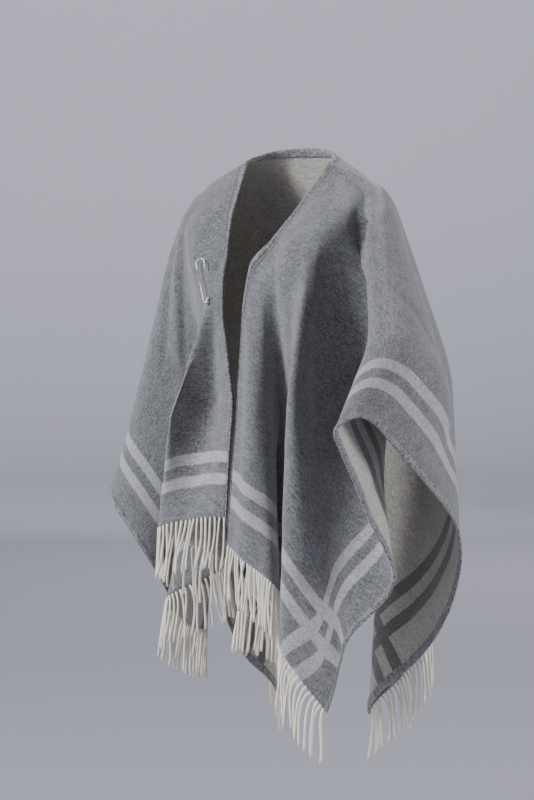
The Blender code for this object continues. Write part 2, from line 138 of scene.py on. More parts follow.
# The neck edge from the V's foot up to the neck's side, by the share of the V's length from its foot.
NECK_SIDE_POINT = (NECK_HALF, 0.0, 0.0)
LEFT_V = [(0.0, (0.012, -0.121, -0.176)), (0.5, (0.057, -0.072, -0.098)), (1.0, NECK_SIDE_POINT)]
RIGHT_V = [(0.0, (-0.051, -0.116, -0.200)), (0.5, (-0.062, -0.078, -0.095)), (1.0, (-NECK_HALF, 0.0, 0.0))]
BACK_NECK_Y = 0.056
BACK_NECK_Z = 0.022

# Each fold's line: its place on the cut edge, its knee on the arm or body, and its end on the edge.
Fold = namedtuple("Fold", "edge knee_x knee_y knee_z end_x end_y end_z")
FOLDS = [
    # The left front: the slit, then three layers, then the long ridge below the forearm.
    Fold(0.000, 0.010, -0.157, -0.440, -0.002, -0.167, -0.659),
    Fold(0.085, 0.053, -0.167, -0.440, 0.061, -0.172, -0.693),
    Fold(0.155, 0.066, -0.140, -0.440, 0.092, -0.160, -0.722),
    Fold(0.195, 0.059, -0.118, -0.440, 0.080, -0.130, -0.744),
    Fold(0.275, 0.055, -0.094, -0.440, -0.012, -0.122, -0.762),
    Fold(0.335, 0.072, -0.092, -0.440, -0.012, -0.092, -0.772),
    Fold(0.450, 0.108, -0.118, -0.430, 0.085, -0.085, -0.790),
    Fold(0.520, 0.125, -0.156, -0.418, 0.125, -0.130, -0.797),
    Fold(0.650, 0.160, -0.206, -0.397, 0.192, -0.268, -0.804),
    Fold(0.780, 0.176, -0.176, -0.420, 0.270, -0.246, -0.905),
    Fold(0.860, 0.176, -0.142, -0.425, 0.278, -0.217, -0.825),
    Fold(0.930, 0.190, -0.098, -0.430, 0.288, -0.205, -0.782),
    Fold(1.020, 0.222, -0.072, -0.435, 0.338, -0.155, -0.700),
    Fold(1.150, 0.286, -0.095, -0.430, 0.349, -0.247, -0.565),
    Fold(1.270, 0.285, -0.125, -0.330, 0.345, -0.312, -0.455),
    # Over the left forearm, the elbow and down the back of the arm.
    Fold(1.320, 0.316, -0.200, -0.306, 0.346, -0.325, -0.428),
    Fold(1.370, 0.354, -0.214, -0.302, 0.362, -0.297, -0.408),
    Fold(1.425, 0.380, -0.166, -0.315, 0.372, -0.262, -0.418),
    Fold(1.480, 0.388, -0.115, -0.360, 0.378, -0.225, -0.449),
    Fold(1.570, 0.378, -0.055, -0.412, 0.386, -0.157, -0.508),
    Fold(1.650, 0.347, -0.007, -0.436, 0.390, -0.094, -0.562),
    Fold(1.750, 0.293, 0.064, -0.350, 0.386, -0.034, -0.622),
    Fold(1.900, 0.262, 0.095, -0.385, 0.336, 0.009, -0.765),
    Fold(2.040, 0.215, 0.112, -0.420, 0.212, 0.072, -0.885),
    Fold(2.110, 0.173, 0.116, -0.440, 0.145, 0.083, -0.935),
    Fold(2.180, 0.130, 0.120, -0.460, 0.094, 0.115, -0.989),
    # The back.
    Fold(2.270, 0.155, 0.140, -0.447, 0.140, 0.148, -0.925),
    Fold(2.360, 0.179, 0.160, -0.433, 0.188, 0.160, -0.855),
    Fold(2.405, 0.176, 0.165, -0.426, 0.180, 0.185, -0.832),
    Fold(2.500, 0.142, 0.165, -0.413, 0.125, 0.193, -0.775),
    Fold(2.550, 0.131, 0.170, -0.408, 0.115, 0.217, -0.752),
    Fold(2.650, 0.118, 0.187, -0.401, 0.125, 0.268, -0.708),
    Fold(2.700, 0.103, 0.184, -0.400, 0.100, 0.275, -0.692),
    Fold(2.820, 0.055, 0.160, -0.400, 0.050, 0.165, -0.660),
    Fold(2.960, 0.000, 0.180, -0.390, 0.000, 0.235, -0.645),
    Fold(3.100, -0.055, 0.160, -0.400, -0.050, 0.165, -0.665),
    Fold(3.220, -0.103, 0.184, -0.400, -0.102, 0.288, -0.695),
    Fold(3.270, -0.119, 0.187, -0.401, -0.132, 0.284, -0.711),
    Fold(3.370, -0.139, 0.170, -0.408, -0.120, 0.230, -0.765),
    Fold(3.420, -0.151, 0.166, -0.412, -0.138, 0.205, -0.790),
    Fold(3.530, -0.182, 0.169, -0.426, -0.205, 0.240, -0.862),
    Fold(3.580, -0.189, 0.167, -0.433, -0.208, 0.212, -0.888),
    Fold(3.740, -0.185, 0.140, -0.460, -0.148, 0.160, -0.985),
    # The right arm, which hangs at the side.
    Fold(3.870, -0.215, 0.135, -0.430, -0.200, 0.120, -0.912),
    Fold(4.020, -0.250, 0.120, -0.400, -0.288, 0.150, -0.805),
    Fold(4.160, -0.288, 0.112, -0.385, -0.372, 0.205, -0.755),
    Fold(4.300, -0.312, 0.075, -0.370, -0.392, 0.115, -0.685),
    Fold(4.440, -0.318, 0.025, -0.360, -0.385, 0.020, -0.625),
    Fold(4.570, -0.302, -0.026, -0.362, -0.366, -0.040, -0.590),
    Fold(4.680, -0.271, -0.066, -0.375, -0.331, -0.092, -0.618),
    Fold(4.780, -0.228, -0.053, -0.390, -0.283, -0.088, -0.680),
    Fold(4.880, -0.194, -0.039, -0.405, -0.258, -0.055, -0.748),
    Fold(4.950, -0.178, -0.027, -0.415, -0.257, -0.017, -0.800),
    Fold(5.020, -0.171, -0.018, -0.425, -0.267, 0.033, -0.840),
    Fold(5.080, -0.167, -0.010, -0.433, -0.280, 0.081, -0.868),
    # The right front: its corner, then two layers, then the ridge beside the slit.
    Fold(5.140, -0.164, -0.007, -0.440, -0.284, 0.112, -0.885),
    Fold(5.210, -0.154, -0.010, -0.440, -0.258, 0.088, -0.874),
    Fold(5.320, -0.145, -0.021, -0.440, -0.240, 0.020, -0.850),
    Fold(5.470, -0.145, -0.046, -0.440, -0.217, -0.070, -0.784),
    Fold(5.590, -0.144, -0.069, -0.440, -0.112, -0.045, -0.725),
    Fold(5.635, -0.142, -0.086, -0.440, -0.088, -0.063, -0.705),
    Fold(5.680, -0.142, -0.104, -0.439, -0.100, -0.095, -0.690),
    Fold(5.760, -0.132, -0.163, -0.435, -0.169, -0.143, -0.651),
    Fold(5.840, -0.092, -0.098, -0.425, -0.105, -0.155, -0.625),
    Fold(5.920, -0.026, -0.124, -0.412, -0.026, -0.140, -0.616),
]
print(len(FOLDS), "fall lines, each with a neck, a rest, a knee and an end")


# %% A smooth curve through a table's values
def through(places, values, at):
    """A smooth curve through values at rising places, read at `at`. Each value's slope is that of the
    parabola through it and its two neighbours, and past its ends the curve runs on straight. Values with
    three axes hold a column for each `at`.
    """
    steps = np.diff(places)
    wide = steps.reshape((-1,) + (1,) * (values.ndim - 1))
    rise = np.diff(values, axis=0) / wide
    middle = (wide[1:] * rise[:-1] + wide[:-1] * rise[1:]) / (wide[1:] + wide[:-1])
    slope = np.concatenate([rise[:1], middle, rise[-1:]])
    cell = np.clip(np.searchsorted(places, at, side="right") - 1, 0, len(steps) - 1)
    along = (at - places[cell]) / steps[cell]
    near, far = cell, cell + 1
    if values.ndim == 3:
        column = np.arange(len(at))
        near, far = (near, column), (far, column)
    inside = np.clip(along, 0, 1)[:, None]
    step = steps[cell][:, None]
    curve = (
        values[near] * (1 + 2 * inside) * (1 - inside) ** 2
        + slope[near] * step * inside * (1 - inside) ** 2
        + values[far] * (3 - 2 * inside) * inside**2
        + slope[far] * step * (inside - 1) * inside**2
    )
    past = (along - np.clip(along, 0, 1))[:, None] * step
    return curve + past * np.where(past < 0, slope[near], slope[far])


halfway = through(np.arange(3.0), np.array([[0.0], [1.0], [4.0]]), np.array([1.5]))[0, 0]
print(f"a curve through 0, 1 and 4 reads {halfway:.2f} halfway between the last two")


# %% The stations of every fall line
SPAN_STATIONS = (0, 1, 1.3, 1.7, 2, 2.3, 2.7, 3)  # neck, rest, two more, knee, two more, end
LOOSENESS = 0.35  # 0 is cloth pulled straight between its holds, and 1 is a smooth curve through them


def neck_point(turn):
    """Where the neck edge lies on the wearer, at each turn."""
    share = 1 - neck_reach(turn) * np.cos(turn) / NECK_FRONT
    points = np.zeros((len(turn), 3))
    for side, table in ((turn <= np.pi, LEFT_V), (turn > np.pi, RIGHT_V)):
        places = np.array([row[0] for row in table])
        values = np.array([row[1] for row in table])
        points[side] = through(places, values, np.clip(share, 0, 1)[side])
    back = np.cos(turn) < 0
    swing = np.abs(np.cos(turn)) * neck_reach(turn) / NECK_BACK
    oval = np.stack([neck_reach(turn) * np.sin(turn), BACK_NECK_Y * swing, BACK_NECK_Z * swing], 1)
    points[back] = oval[back]
    return points


def fall_lines():
    """Each fold's turn, the reaches of its stations and their points. The reaches share out the flat line in
    proportion to the straight distances between its four holds: neck, rest, knee and end. Between two holds
    cloth hangs nearly straight, so each long span gets two more stations, each its chord's point plus
    LOOSENESS times the way from there to a smooth curve.
    """
    turns = turn_of([fold.edge for fold in FOLDS])
    rest_turns = np.radians([rest.turn for rest in SHOULDERS])
    rests = through(rest_turns, np.array([rest[1:] for rest in SHOULDERS]), turns)
    folds = np.array(FOLDS)
    stations = np.stack([neck_point(turns), rests, folds[:, 1:4], folds[:, 4:7]], 1)
    lengths = np.linalg.norm(np.diff(stations, axis=1), axis=2)
    share = np.cumsum(lengths, 1) / lengths.sum(1, keepdims=True)
    near, far = neck_reach(turns)[:, None], cut_reach(turns)[:, None]
    reaches = np.concatenate([near, near + share * (far - near)], 1)
    more_reaches, more_stations = [], []
    for reach, points in zip(reaches, stations):
        places = np.interp(SPAN_STATIONS, range(len(reach)), reach)
        chord = np.stack([np.interp(places, reach, column) for column in points.T], 1)
        more_reaches.append(places)
        more_stations.append(chord + LOOSENESS * (through(reach, points, places) - chord))
    return turns, np.array(more_reaches), np.array(more_stations)


TURNS, REACHES, STATIONS = fall_lines()
print(f"the rests lie {REACHES[:, 1].min():.2f} to {REACHES[:, 1].max():.2f} m from the neck's middle")


# %% The worn cloth, from a turn and a reach
def worn(turn, reach):
    """The inner face's points. Each lies on a smooth curve round the wearer, through the fall lines' points
    at the same reach; only the two lines before it and the two after it matter, so the others are skipped.
    """
    turn, reach = np.broadcast_arrays(np.asarray(turn, float), np.asarray(reach, float))
    at, far = turn.ravel(), reach.ravel()
    cell = np.clip(np.searchsorted(TURNS, at, side="right") - 1, 0, len(TURNS) - 2)
    points = np.empty((len(at), 3))
    for first in np.unique(cell):
        here = cell == first
        near = slice(max(first - 1, 0), first + 3)
        lines = np.stack([through(r, s, far[here]) for r, s in zip(REACHES[near], STATIONS[near])])
        points[here] = through(TURNS[near], lines, at[here])
    return points.reshape(turn.shape + (3,))


def unit(vectors):
    """The vectors at length 1."""
    return vectors / np.linalg.norm(vectors, axis=-1, keepdims=True)


def outward(turn, reach, step=0.004):
    """The direction out of the cloth: its slope down crossed with its slope round."""
    down = worn(turn, reach + step) - worn(turn, reach - step)
    swing = step / np.maximum(reach, NECK_HALF)
    return unit(np.cross(down, worn(turn + swing, reach) - worn(turn - swing, reach)))


corner = turn_of(FRONT_CORNER_LEFT)
print("the left front corner hangs at", np.round(worn(corner, cut_reach(corner)), 3))


# %% [markdown]
# ## Small folds
# The fall lines give the big folds. A thick brushed wool also has a few long soft creases, where it was
# folded in a drawer or pulls from the neck, and a low unevenness all over. They could be sculpted by hand,
# but a table can be read and changed. Each crease is a line on the flat cut with a height and two widths, as
# most are steep on one side: `before` is the width on the side that comes first on the way round from the
# slit by the left shoulder, and `after` is the width on the other. The unevenness is smooth noise. Both push
# the cloth along its own outward direction, by so little that it hardly stretches.

# %% Creases and unevenness
Crease = namedtuple("Crease", "across_a down_a across_b down_b before after height")
CREASES = [
    # The left front: the valley beside the slit's ridge, the next ridge, and the hollow before the sleeve.
    Crease(0.040, 0.150, 0.165, 0.380, 0.030, 0.014, -0.0080),
    Crease(0.090, 0.150, 0.215, 0.400, 0.020, 0.030, 0.0050),
    Crease(0.155, -0.035, 0.530, 0.360, 0.045, 0.014, -0.0190),
    Crease(0.120, -0.070, 0.500, 0.330, 0.120, 0.020, -0.0150),
    Crease(0.230, -0.020, 0.470, 0.190, 0.014, 0.040, 0.0050),
    Crease(0.220, 0.240, 0.600, 0.580, 0.016, 0.030, 0.0055),
    Crease(0.045, 0.330, 0.045, 0.900, 0.020, 0.040, 0.0070),
    Crease(0.000, 0.240, 0.030, 0.680, 0.012, 0.030, -0.0030),
    # The left sleeve, from the shoulder to the elbow, and the short dent at the elbow.
    Crease(0.300, -0.060, 0.620, -0.060, 0.024, 0.024, -0.0030),
    Crease(0.340, -0.160, 0.660, -0.240, 0.030, 0.030, 0.0040),
    Crease(0.360, 0.030, 0.470, 0.040, 0.012, 0.012, -0.0030),
    Crease(0.470, 0.060, 0.560, -0.030, 0.016, 0.010, -0.0030),
    # The right front: its broad valley, and the ridge that the sleeve hangs from.
    Crease(-0.105, 0.130, -0.066, 0.860, 0.036, 0.028, -0.0090),
    Crease(-0.170, 0.070, -0.460, 0.220, 0.090, 0.014, 0.0120),
    Crease(-0.180, 0.055, -0.480, 0.190, 0.012, 0.012, -0.0050),
    Crease(-0.160, 0.380, -0.150, 0.900, 0.020, 0.040, 0.0060),
    Crease(-0.030, 0.250, -0.020, 0.640, 0.014, 0.014, 0.0030),
    Crease(-0.260, 0.020, -0.440, 0.060, 0.024, 0.024, -0.0030),
    Crease(-0.300, -0.020, -0.600, 0.040, 0.026, 0.026, 0.0030),
    # The back.
    Crease(0.120, -0.100, 0.240, -0.480, 0.030, 0.030, 0.0040),
    Crease(-0.120, -0.120, -0.200, -0.520, 0.028, 0.028, -0.0040),
    Crease(0.000, -0.140, 0.020, -0.440, 0.024, 0.024, -0.0030),
]


UNEVEN = [(0.0011, 0.085, 1), (0.0004, 0.028, 2)]  # the height, size and seed of each noise
NET = 64  # how many values a noise's net has each way before it repeats


def smooth_noise(across, down, size, seed):
    """Noise from -1 to 1: random values on a square net of this size, blended by smooth steps between."""
    net = np.random.default_rng(seed).uniform(-1, 1, (NET, NET))
    column, row = across / size, down / size
    left, top = np.floor(column).astype(int), np.floor(row).astype(int)
    beyond, under = (share**2 * (3 - 2 * share) for share in (column - left, row - top))
    above, below = (
        net[line % NET, left % NET] * (1 - beyond) + net[line % NET, (left + 1) % NET] * beyond
        for line in (top, top + 1)
    )
    return above * (1 - under) + below * under


def relief(across, down):
    """How far the cloth stands out from its big folds: each crease is a bell across its line, and fades to
    nothing at its two ends.
    """
    height = sum(tall * smooth_noise(across, down, size, seed) for tall, size, seed in UNEVEN)
    for crease in CREASES:
        run_x, run_y = crease.across_b - crease.across_a, crease.down_b - crease.down_a
        from_x, from_y = across - crease.across_a, down - crease.down_a
        share = np.clip((from_x * run_x + from_y * run_y) / (run_x**2 + run_y**2), 0, 1)
        distance = np.hypot(from_x - share * run_x, from_y - share * run_y)
        width = np.where(run_x * from_y > run_y * from_x, crease.before, crease.after)
        fade = np.sqrt(np.sin(np.pi * share))
        height = height + crease.height * fade * np.exp(-((distance / width) ** 2))
    return height


def cloth(across, down, lift=0.0, right=None):
    """The worn point of a flat point, lifted off the inner face along the outward direction."""
    across, down, lift = np.broadcast_arrays(*(np.asarray(value, float) for value in (across, down, lift)))
    turn, reach = turn_and_reach(across, down, across < 0 if right is None else right)
    height = relief(across, down) + lift
    return worn(turn, reach) + height[..., None] * outward(turn, reach)


print(f"creases are at most {max(abs(crease.height) for crease in CREASES) * 1000:.0f} mm high")

# %% [markdown]
# ## From arrays to pieces
# Every surface here is a grid of points worked out as one array. A grid could be built face by face with
# bmesh, but that is slow for a hundred thousand faces, so whole arrays go into the mesh at once. Each
# point's place on the flat cut is its UV map. That map is in metres, so a pattern can be given its real
# size, and it follows the cloth round every fold.


# %% Arrays to pieces
def new_piece(name, points, corners, starts, smooth, uv, finishes):
    """A piece from arrays. `corners` holds every face's points in one row, `starts` says where each face
    begins in that row, and `uv` has a flat place for each corner.
    """
    mesh = bpy.data.meshes.new(name)
    mesh.vertices.add(len(points))
    mesh.vertices.foreach_set("co", points.ravel())
    mesh.loops.add(len(corners))
    mesh.loops.foreach_set("vertex_index", corners)
    mesh.polygons.add(len(starts))
    mesh.polygons.foreach_set("loop_start", starts)
    mesh.polygons.foreach_set("use_smooth", smooth)
    mesh.uv_layers.new(name="cut").data.foreach_set("uv", uv.ravel())
    mesh.update(calc_edges=True)
    mesh.validate()
    for finish in finishes:
        mesh.materials.append(finish)
    piece = bpy.data.objects.new(name, mesh)
    bpy.context.scene.collection.objects.link(piece)
    return piece


def grid_piece(name, points, flat, finishes, closed=False):
    """A piece from a grid of points (rows, columns, 3) and its flat places (rows, columns, 2). A closed grid
    joins its last row to its first, and its flat places have one row more.
    """
    rows, columns = points.shape[:2]
    first = (np.arange(rows - (not closed))[:, None] * columns + np.arange(columns - 1)).ravel()
    quads = np.stack([first, first + columns, first + columns + 1, first + 1], 1)
    uv = flat.reshape(-1, 2)[quads.ravel()]
    corners = quads.ravel() % (rows * columns)
    smooth = np.ones(len(quads), bool)
    return new_piece(name, points.reshape(-1, 3), corners, np.arange(len(quads)) * 4, smooth, uv, finishes)


def rework(piece, change):
    """Makes one bmesh change to the piece's mesh, then points every face outwards."""
    shape = bmesh.new()
    shape.from_mesh(piece.data)
    change(shape)
    bmesh.ops.recalc_face_normals(shape, faces=shape.faces)
    shape.to_mesh(piece.data)
    shape.free()


def fit(piece, slot, *nodes):
    """Rides a finished piece on the one body, hides the plain pieces it stands for, and names them.
    The slot is not used. A face with n corners is n - 2 triangles.
    """
    if nodes:
        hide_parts(*nodes)
    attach(piece, "root")
    shape = piece.evaluated_get(bpy.context.evaluated_depsgraph_get()).data
    triangles = len(shape.loops) - 2 * len(shape.polygons)
    print(f"{piece.name}: {triangles} triangles, for {', '.join(nodes) or 'looks alone'}")


# %% [markdown]
# ## Finishes
# Brushed wool looks soft for three reasons: its yarn is spun from fibres of several greys, its nap scatters
# light at the edges, and the raised fibres make a fine broken relief. The first reason is a mottled colour,
# the second is the shader's sheen, and the third is a bump. All three are needed, because a flat grey reads
# as felt or plaster. The mottle and the relief are one node group, which each wool places with its own
# greys.


# %% A short way to write nodes
def connect(tree, node, sockets):
    """Sets each named socket to its value, or joins it to another node's output."""
    for key, value in sockets.items():
        if isinstance(value, bpy.types.NodeSocket):
            tree.links.new(value, node.inputs[key])
        else:
            node.inputs[key].default_value = value


def add(tree, kind, sockets=None, **settings):
    """A new node with its settings and its sockets."""
    node = tree.nodes.new(kind)
    for name, value in settings.items():
        setattr(node, name, value)
    connect(tree, node, sockets or {})
    return node


def maths(tree, operation, *values):
    """A Math node's output."""
    return add(tree, "ShaderNodeMath", dict(enumerate(values)), operation=operation).outputs[0]


def centred(tree, value, size):
    """A value from 0 to 1 made one that swings about zero, by this size in all."""
    return maths(tree, "MULTIPLY", maths(tree, "SUBTRACT", value, 0.5), size)


def soft_step(tree, value, full, none):
    """1 where the value is `full`, 0 where it is `none`, and a smooth step between."""
    ends = {"Value": value, "From Min": none, "From Max": full}
    return add(tree, "ShaderNodeMapRange", ends, interpolation_type="SMOOTHSTEP").outputs[0]


def noise(tree, at, scale, detail, roughness=0.5):
    """A noise from 0 to 1 at these places, with this many bumps to a metre."""
    sockets = {"Vector": at, "Scale": scale, "Detail": detail, "Roughness": roughness}
    return add(tree, "ShaderNodeTexNoise", sockets).outputs["Fac"]


def mix(tree, factor, first, second):
    """A straight blend of two colours. Each is a node's output, or its red, green and blue."""
    ends = {"A": first, "B": second}
    ends = {key: end if isinstance(end, bpy.types.NodeSocket) else (*end, 1) for key, end in ends.items()}
    return add(tree, "ShaderNodeMix", {0: factor, **ends}, data_type="RGBA").outputs["Result"]


def flat_place(tree):
    """The place on the flat cut, or on a tube: the share round it and the distance along it."""
    return add(tree, "ShaderNodeUVMap", uv_map="cut").outputs[0]


def space_place(tree):
    """The place in space, as every piece lies at the origin."""
    return add(tree, "ShaderNodeTexCoord").outputs["Object"]


# %% Groups and finishes
def new_group(name, outputs, **inputs):
    """A node group, what it is given and its output node. Inputs come with their types, and each output is a
    number.
    """
    group = bpy.data.node_groups.new(name, "ShaderNodeTree")
    for socket, kind in inputs.items():
        group.interface.new_socket(name=socket, in_out="INPUT", socket_type="NodeSocket" + kind)
    for socket in outputs:
        group.interface.new_socket(name=socket, in_out="OUTPUT", socket_type="NodeSocketFloat")
    return group, group.nodes.new("NodeGroupInput").outputs, group.nodes.new("NodeGroupOutput")


def place(tree, group, **sockets):
    """What a group puts out, where a material places it."""
    return add(tree, "ShaderNodeGroup", sockets, node_tree=group).outputs


def new_finish(name):
    """A material with its node tree, which holds a Principled shader."""
    finish = bpy.data.materials.new(name)
    finish.use_nodes = True
    return finish, finish.node_tree


def shade(tree, **sockets):
    """Sets the Principled shader's sockets. An underscore stands for a space in a socket's name."""
    named = {key.replace("_", " "): value for key, value in sockets.items()}
    connect(tree, tree.nodes["Principled BSDF"], named)


def relief_normal(tree, height, depth, strength):
    """The normal of a relief this many metres deep."""
    return add(tree, "ShaderNodeBump", {"Height": height, "Distance": depth, "Strength": strength}).outputs[0]


# %% The nap: a mottle of mixed fibres, and its relief
Mottle = namedtuple("Mottle", "across down detail roughness tone height")
MOTTLES = [  # bumps to a metre each way, how broken they are, then what they add to tone and height
    Mottle(620, 620, 3, 0.65, 2.50, 1.0),  # single fibres
    Mottle(230, 180, 3, 0.70, 1.60, 1.4),  # tufts of about 5 mm
    Mottle(40, 40, 3, 0.60, 0.55, 0.0),  # clouds of tufts
    Mottle(45, 560, 2, 0.50, 0.90, 0.4),  # the long hairlines of the weft
]


def make_nap():
    """Tone is 0.5 plus the grain times the sum of the noises' swings, each by its tone. Height is the sum of
    the noises, each times its height.
    """
    group, given, result = new_group("nap", ["Tone", "Height"], Flat="Vector", Grain="Float")
    spread, height = 0.0, 0.0
    for mottle in MOTTLES:
        scale = (mottle.across, mottle.down, 1)
        stretched = add(group, "ShaderNodeMapping", {"Vector": given["Flat"], "Scale": scale}).outputs[0]
        value = noise(group, stretched, 1, mottle.detail, mottle.roughness)
        spread = maths(group, "ADD", centred(group, value, mottle.tone), spread)
        if mottle.height:
            height = maths(group, "ADD", maths(group, "MULTIPLY", value, mottle.height), height)
    tone = maths(group, "ADD", maths(group, "MULTIPLY", spread, given["Grain"]), 0.5)
    connect(group, result, {"Tone": tone, "Height": height})
    return group


# %% The border: two stripes along every edge
STRIPE_MIDDLES = (0.077, 0.121)  # from the edge
STRIPE_HALF = 0.011
STRIPE_FADE = 0.0008  # to each side of a stripe's edge
STRIPE_DRAG = 0.0075  # how far the noise's whole range would move that edge
DRAG_SCALE = 420


def make_border():
    """Mask is 1 where the distance to a side edge or to a hem lies inside a stripe. Noise shakes the distance
    by about a millimetre, as the brushing drags fibres over the stripe's edge.
    """
    group, given, result = new_group("border", ["Mask"], Flat="Vector")
    work = partial(maths, group)
    spot = add(group, "ShaderNodeSeparateXYZ", {0: given["Flat"]}).outputs
    drag = centred(group, noise(group, given["Flat"], DRAG_SCALE, 2), STRIPE_DRAG)
    full, none = STRIPE_HALF - STRIPE_FADE, STRIPE_HALF + STRIPE_FADE
    mask = 0.0
    for axis, half in (("X", HALF_WIDTH), ("Y", HALF_LENGTH)):
        inward = work("ADD", work("SUBTRACT", half, work("ABSOLUTE", spot[axis])), drag)
        for middle in STRIPE_MIDDLES:
            off = work("ABSOLUTE", work("SUBTRACT", inward, middle))
            mask = work("MAXIMUM", soft_step(group, off, full, none), mask)
    connect(group, result, {"Mask": mask})
    return group


# %% The sewn line that holds the turned neck
SEWN_IN = 0.0135  # from the edge
SEWN_TO = 0.30  # how far down the slit the turned neck goes
GROOVE_DEEP = 0.0003  # how far from its line the groove is deep
GROOVE_END = 0.0016


def make_sewn_line():
    """Mask is 1 on a line that runs beside the V and the slit, then straight to the slit's edge. The distance
    to the edge is the smaller of those to the V's side and to the slit.
    """
    group, given, result = new_group("sewn_line", ["Mask"], Flat="Vector")
    work = partial(maths, group)
    spot = add(group, "ShaderNodeSeparateXYZ", {0: given["Flat"]}).outputs
    across = work("ABSOLUTE", spot["X"])
    slant = np.hypot(NECK_HALF, NECK_FRONT)
    to_v = work("MULTIPLY", across, NECK_FRONT / slant)
    to_v = work("ADD", to_v, work("MULTIPLY", spot["Y"], NECK_HALF / slant))
    to_v = work("SUBTRACT", to_v, NECK_HALF * NECK_FRONT / slant)
    past = work("SUBTRACT", work("MINIMUM", across, to_v), SEWN_IN)
    below = work("SUBTRACT", spot["Y"], SEWN_TO)
    behind = work("MULTIPLY", spot["Y"], -1.0)
    beside = work("MAXIMUM", work("MAXIMUM", work("ABSOLUTE", past), below), behind)
    end = work("MAXIMUM", work("ABSOLUTE", below), past)
    connect(group, result, {"Mask": soft_step(group, work("MINIMUM", beside, end), GROOVE_DEEP, GROOVE_END)})
    return group


NAP, BORDER, SEWN_LINE = make_nap(), make_border(), make_sewn_line()
print("shared effects:", ", ".join(group.name for group in (NAP, BORDER, SEWN_LINE)))

# %% Wool in two greys
GREY = ((0.024, 0.024, 0.0255), (0.296, 0.299, 0.315))  # the darkest and the lightest fibres of each wool
PALE = ((0.19, 0.189, 0.187), (0.575, 0.573, 0.570))
WARM = ((0.22, 0.205, 0.175), (0.66, 0.63, 0.56))
DARK = ((0.050, 0.048, 0.045), (0.215, 0.208, 0.195))
FELTED = ((0.022, 0.022, 0.023), (0.400, 0.402, 0.410))
SPUN = ((0.05, 0.05, 0.052), (0.13, 0.13, 0.134))
# Painted shade: the colour in the sewn line's groove is darkened towards this grey, where shade falls in the
# groove.
SEWN_GROOVE_PAINTED_SHADE = (0.03, 0.032, 0.036)
SEWN_PAINTED_SHADE_SHARE = 0.55  # how much of that shade the groove takes
SEWN_DEEPER = 1.6  # on the scale of the nap's height


def wool(name, ground, stripe=None, grain=1.0, depth=0.0005):
    """A brushed wool, with the stripes and the sewn line's groove where it is given a stripe. The groove is a
    dent in the relief, and its colour is darkened as painted shade.
    """
    finish, tree = new_finish(name)
    flat = flat_place(tree)
    nap = place(tree, NAP, Flat=flat, Grain=grain)
    height = nap["Height"]
    colour = mix(tree, nap["Tone"], *ground)
    if stripe:
        mask = place(tree, BORDER, Flat=flat)["Mask"]
        colour = mix(tree, mask, colour, mix(tree, nap["Tone"], *stripe))
        sewn = place(tree, SEWN_LINE, Flat=flat)["Mask"]
        # Painted shade: the groove's colour is darkened, as shade falls in it.
        colour = mix(tree, maths(tree, "MULTIPLY", sewn, SEWN_PAINTED_SHADE_SHARE), colour, SEWN_GROOVE_PAINTED_SHADE)
        height = maths(tree, "SUBTRACT", height, maths(tree, "MULTIPLY", sewn, SEWN_DEEPER))
    shade(tree, Base_Color=colour, Normal=relief_normal(tree, height, depth, 0.8), Roughness=0.95)
    shade(tree, Sheen_Weight=0.45, Sheen_Roughness=0.6, Specular_IOR_Level=0.2)
    return finish


grey_outside = wool("brushed_grey_outside", GREY, PALE)
pale_inside = wool("brushed_pale_inside", WARM, DARK)
turned_edge = wool("turned_edge_wool", FELTED, grain=1.5, depth=0.0012)
thread = wool("grey_thread", SPUN)
print("wools:", ", ".join(finish.name for finish in (grey_outside, pale_inside, turned_edge, thread)))

# %% [markdown]
# ## The cloth
# The real cape is one length of cloth, cut but not pieced, so here it is one sheet that stands for the plain
# back and both plain fronts. Its outer face could be modelled as well, but a Solidify modifier thickens the
# thin surface outwards to its real wall, and gives the inner side its own material. That is how a cloth
# woven in two colours is made: dark stripes inside lie exactly behind pale stripes outside, as in a double
# cloth.

# %% The sheet
COLUMN_STEP = 0.0098  # along the cut edge
ROWS = 80  # from the neck to the edge


def whole_cloth(name):
    """The cape's cloth in one sheet. Columns run round the cut edge from the slit to the slit, and rows from
    the neck edge, at a share 0 of the way, to the cut edge, at 1.
    """
    turn = turn_of(np.linspace(0, ALL_ROUND, int(ALL_ROUND / COLUMN_STEP) + 1))
    share = np.linspace(0, 1, ROWS)[:, None]
    reach = neck_reach(turn) + share * (cut_reach(turn) - neck_reach(turn))
    across, down = reach * np.sin(turn), reach * np.cos(turn)
    points = cloth(across, down, right=np.broadcast_to(turn > np.pi, reach.shape))
    piece = grid_piece(name, points, np.stack([across, down], 2), [grey_outside, pale_inside])
    wall = piece.modifiers.new("wall", "SOLIDIFY")
    wall.thickness = WALL
    wall.offset = 1
    wall.material_offset = 1
    return piece


cape_cloth = whole_cloth("cape_cloth")
fit(cape_cloth, "grey_wool", "front_left", "back", "front_right")

# %% [markdown]
# ## Turned edges
# The neck, the slit and both side edges are turned over to the inside and felted down, so each shows a soft
# rolled lip, with a lumpy dark band inside. A Bevel modifier could round the cloth's own edge, but it makes
# neither the lumps nor the second layer. So a band is a closed outline carried along the edge. The outline
# is given by how far each of its points lies in from the edge, and how high over the cloth's inner face.

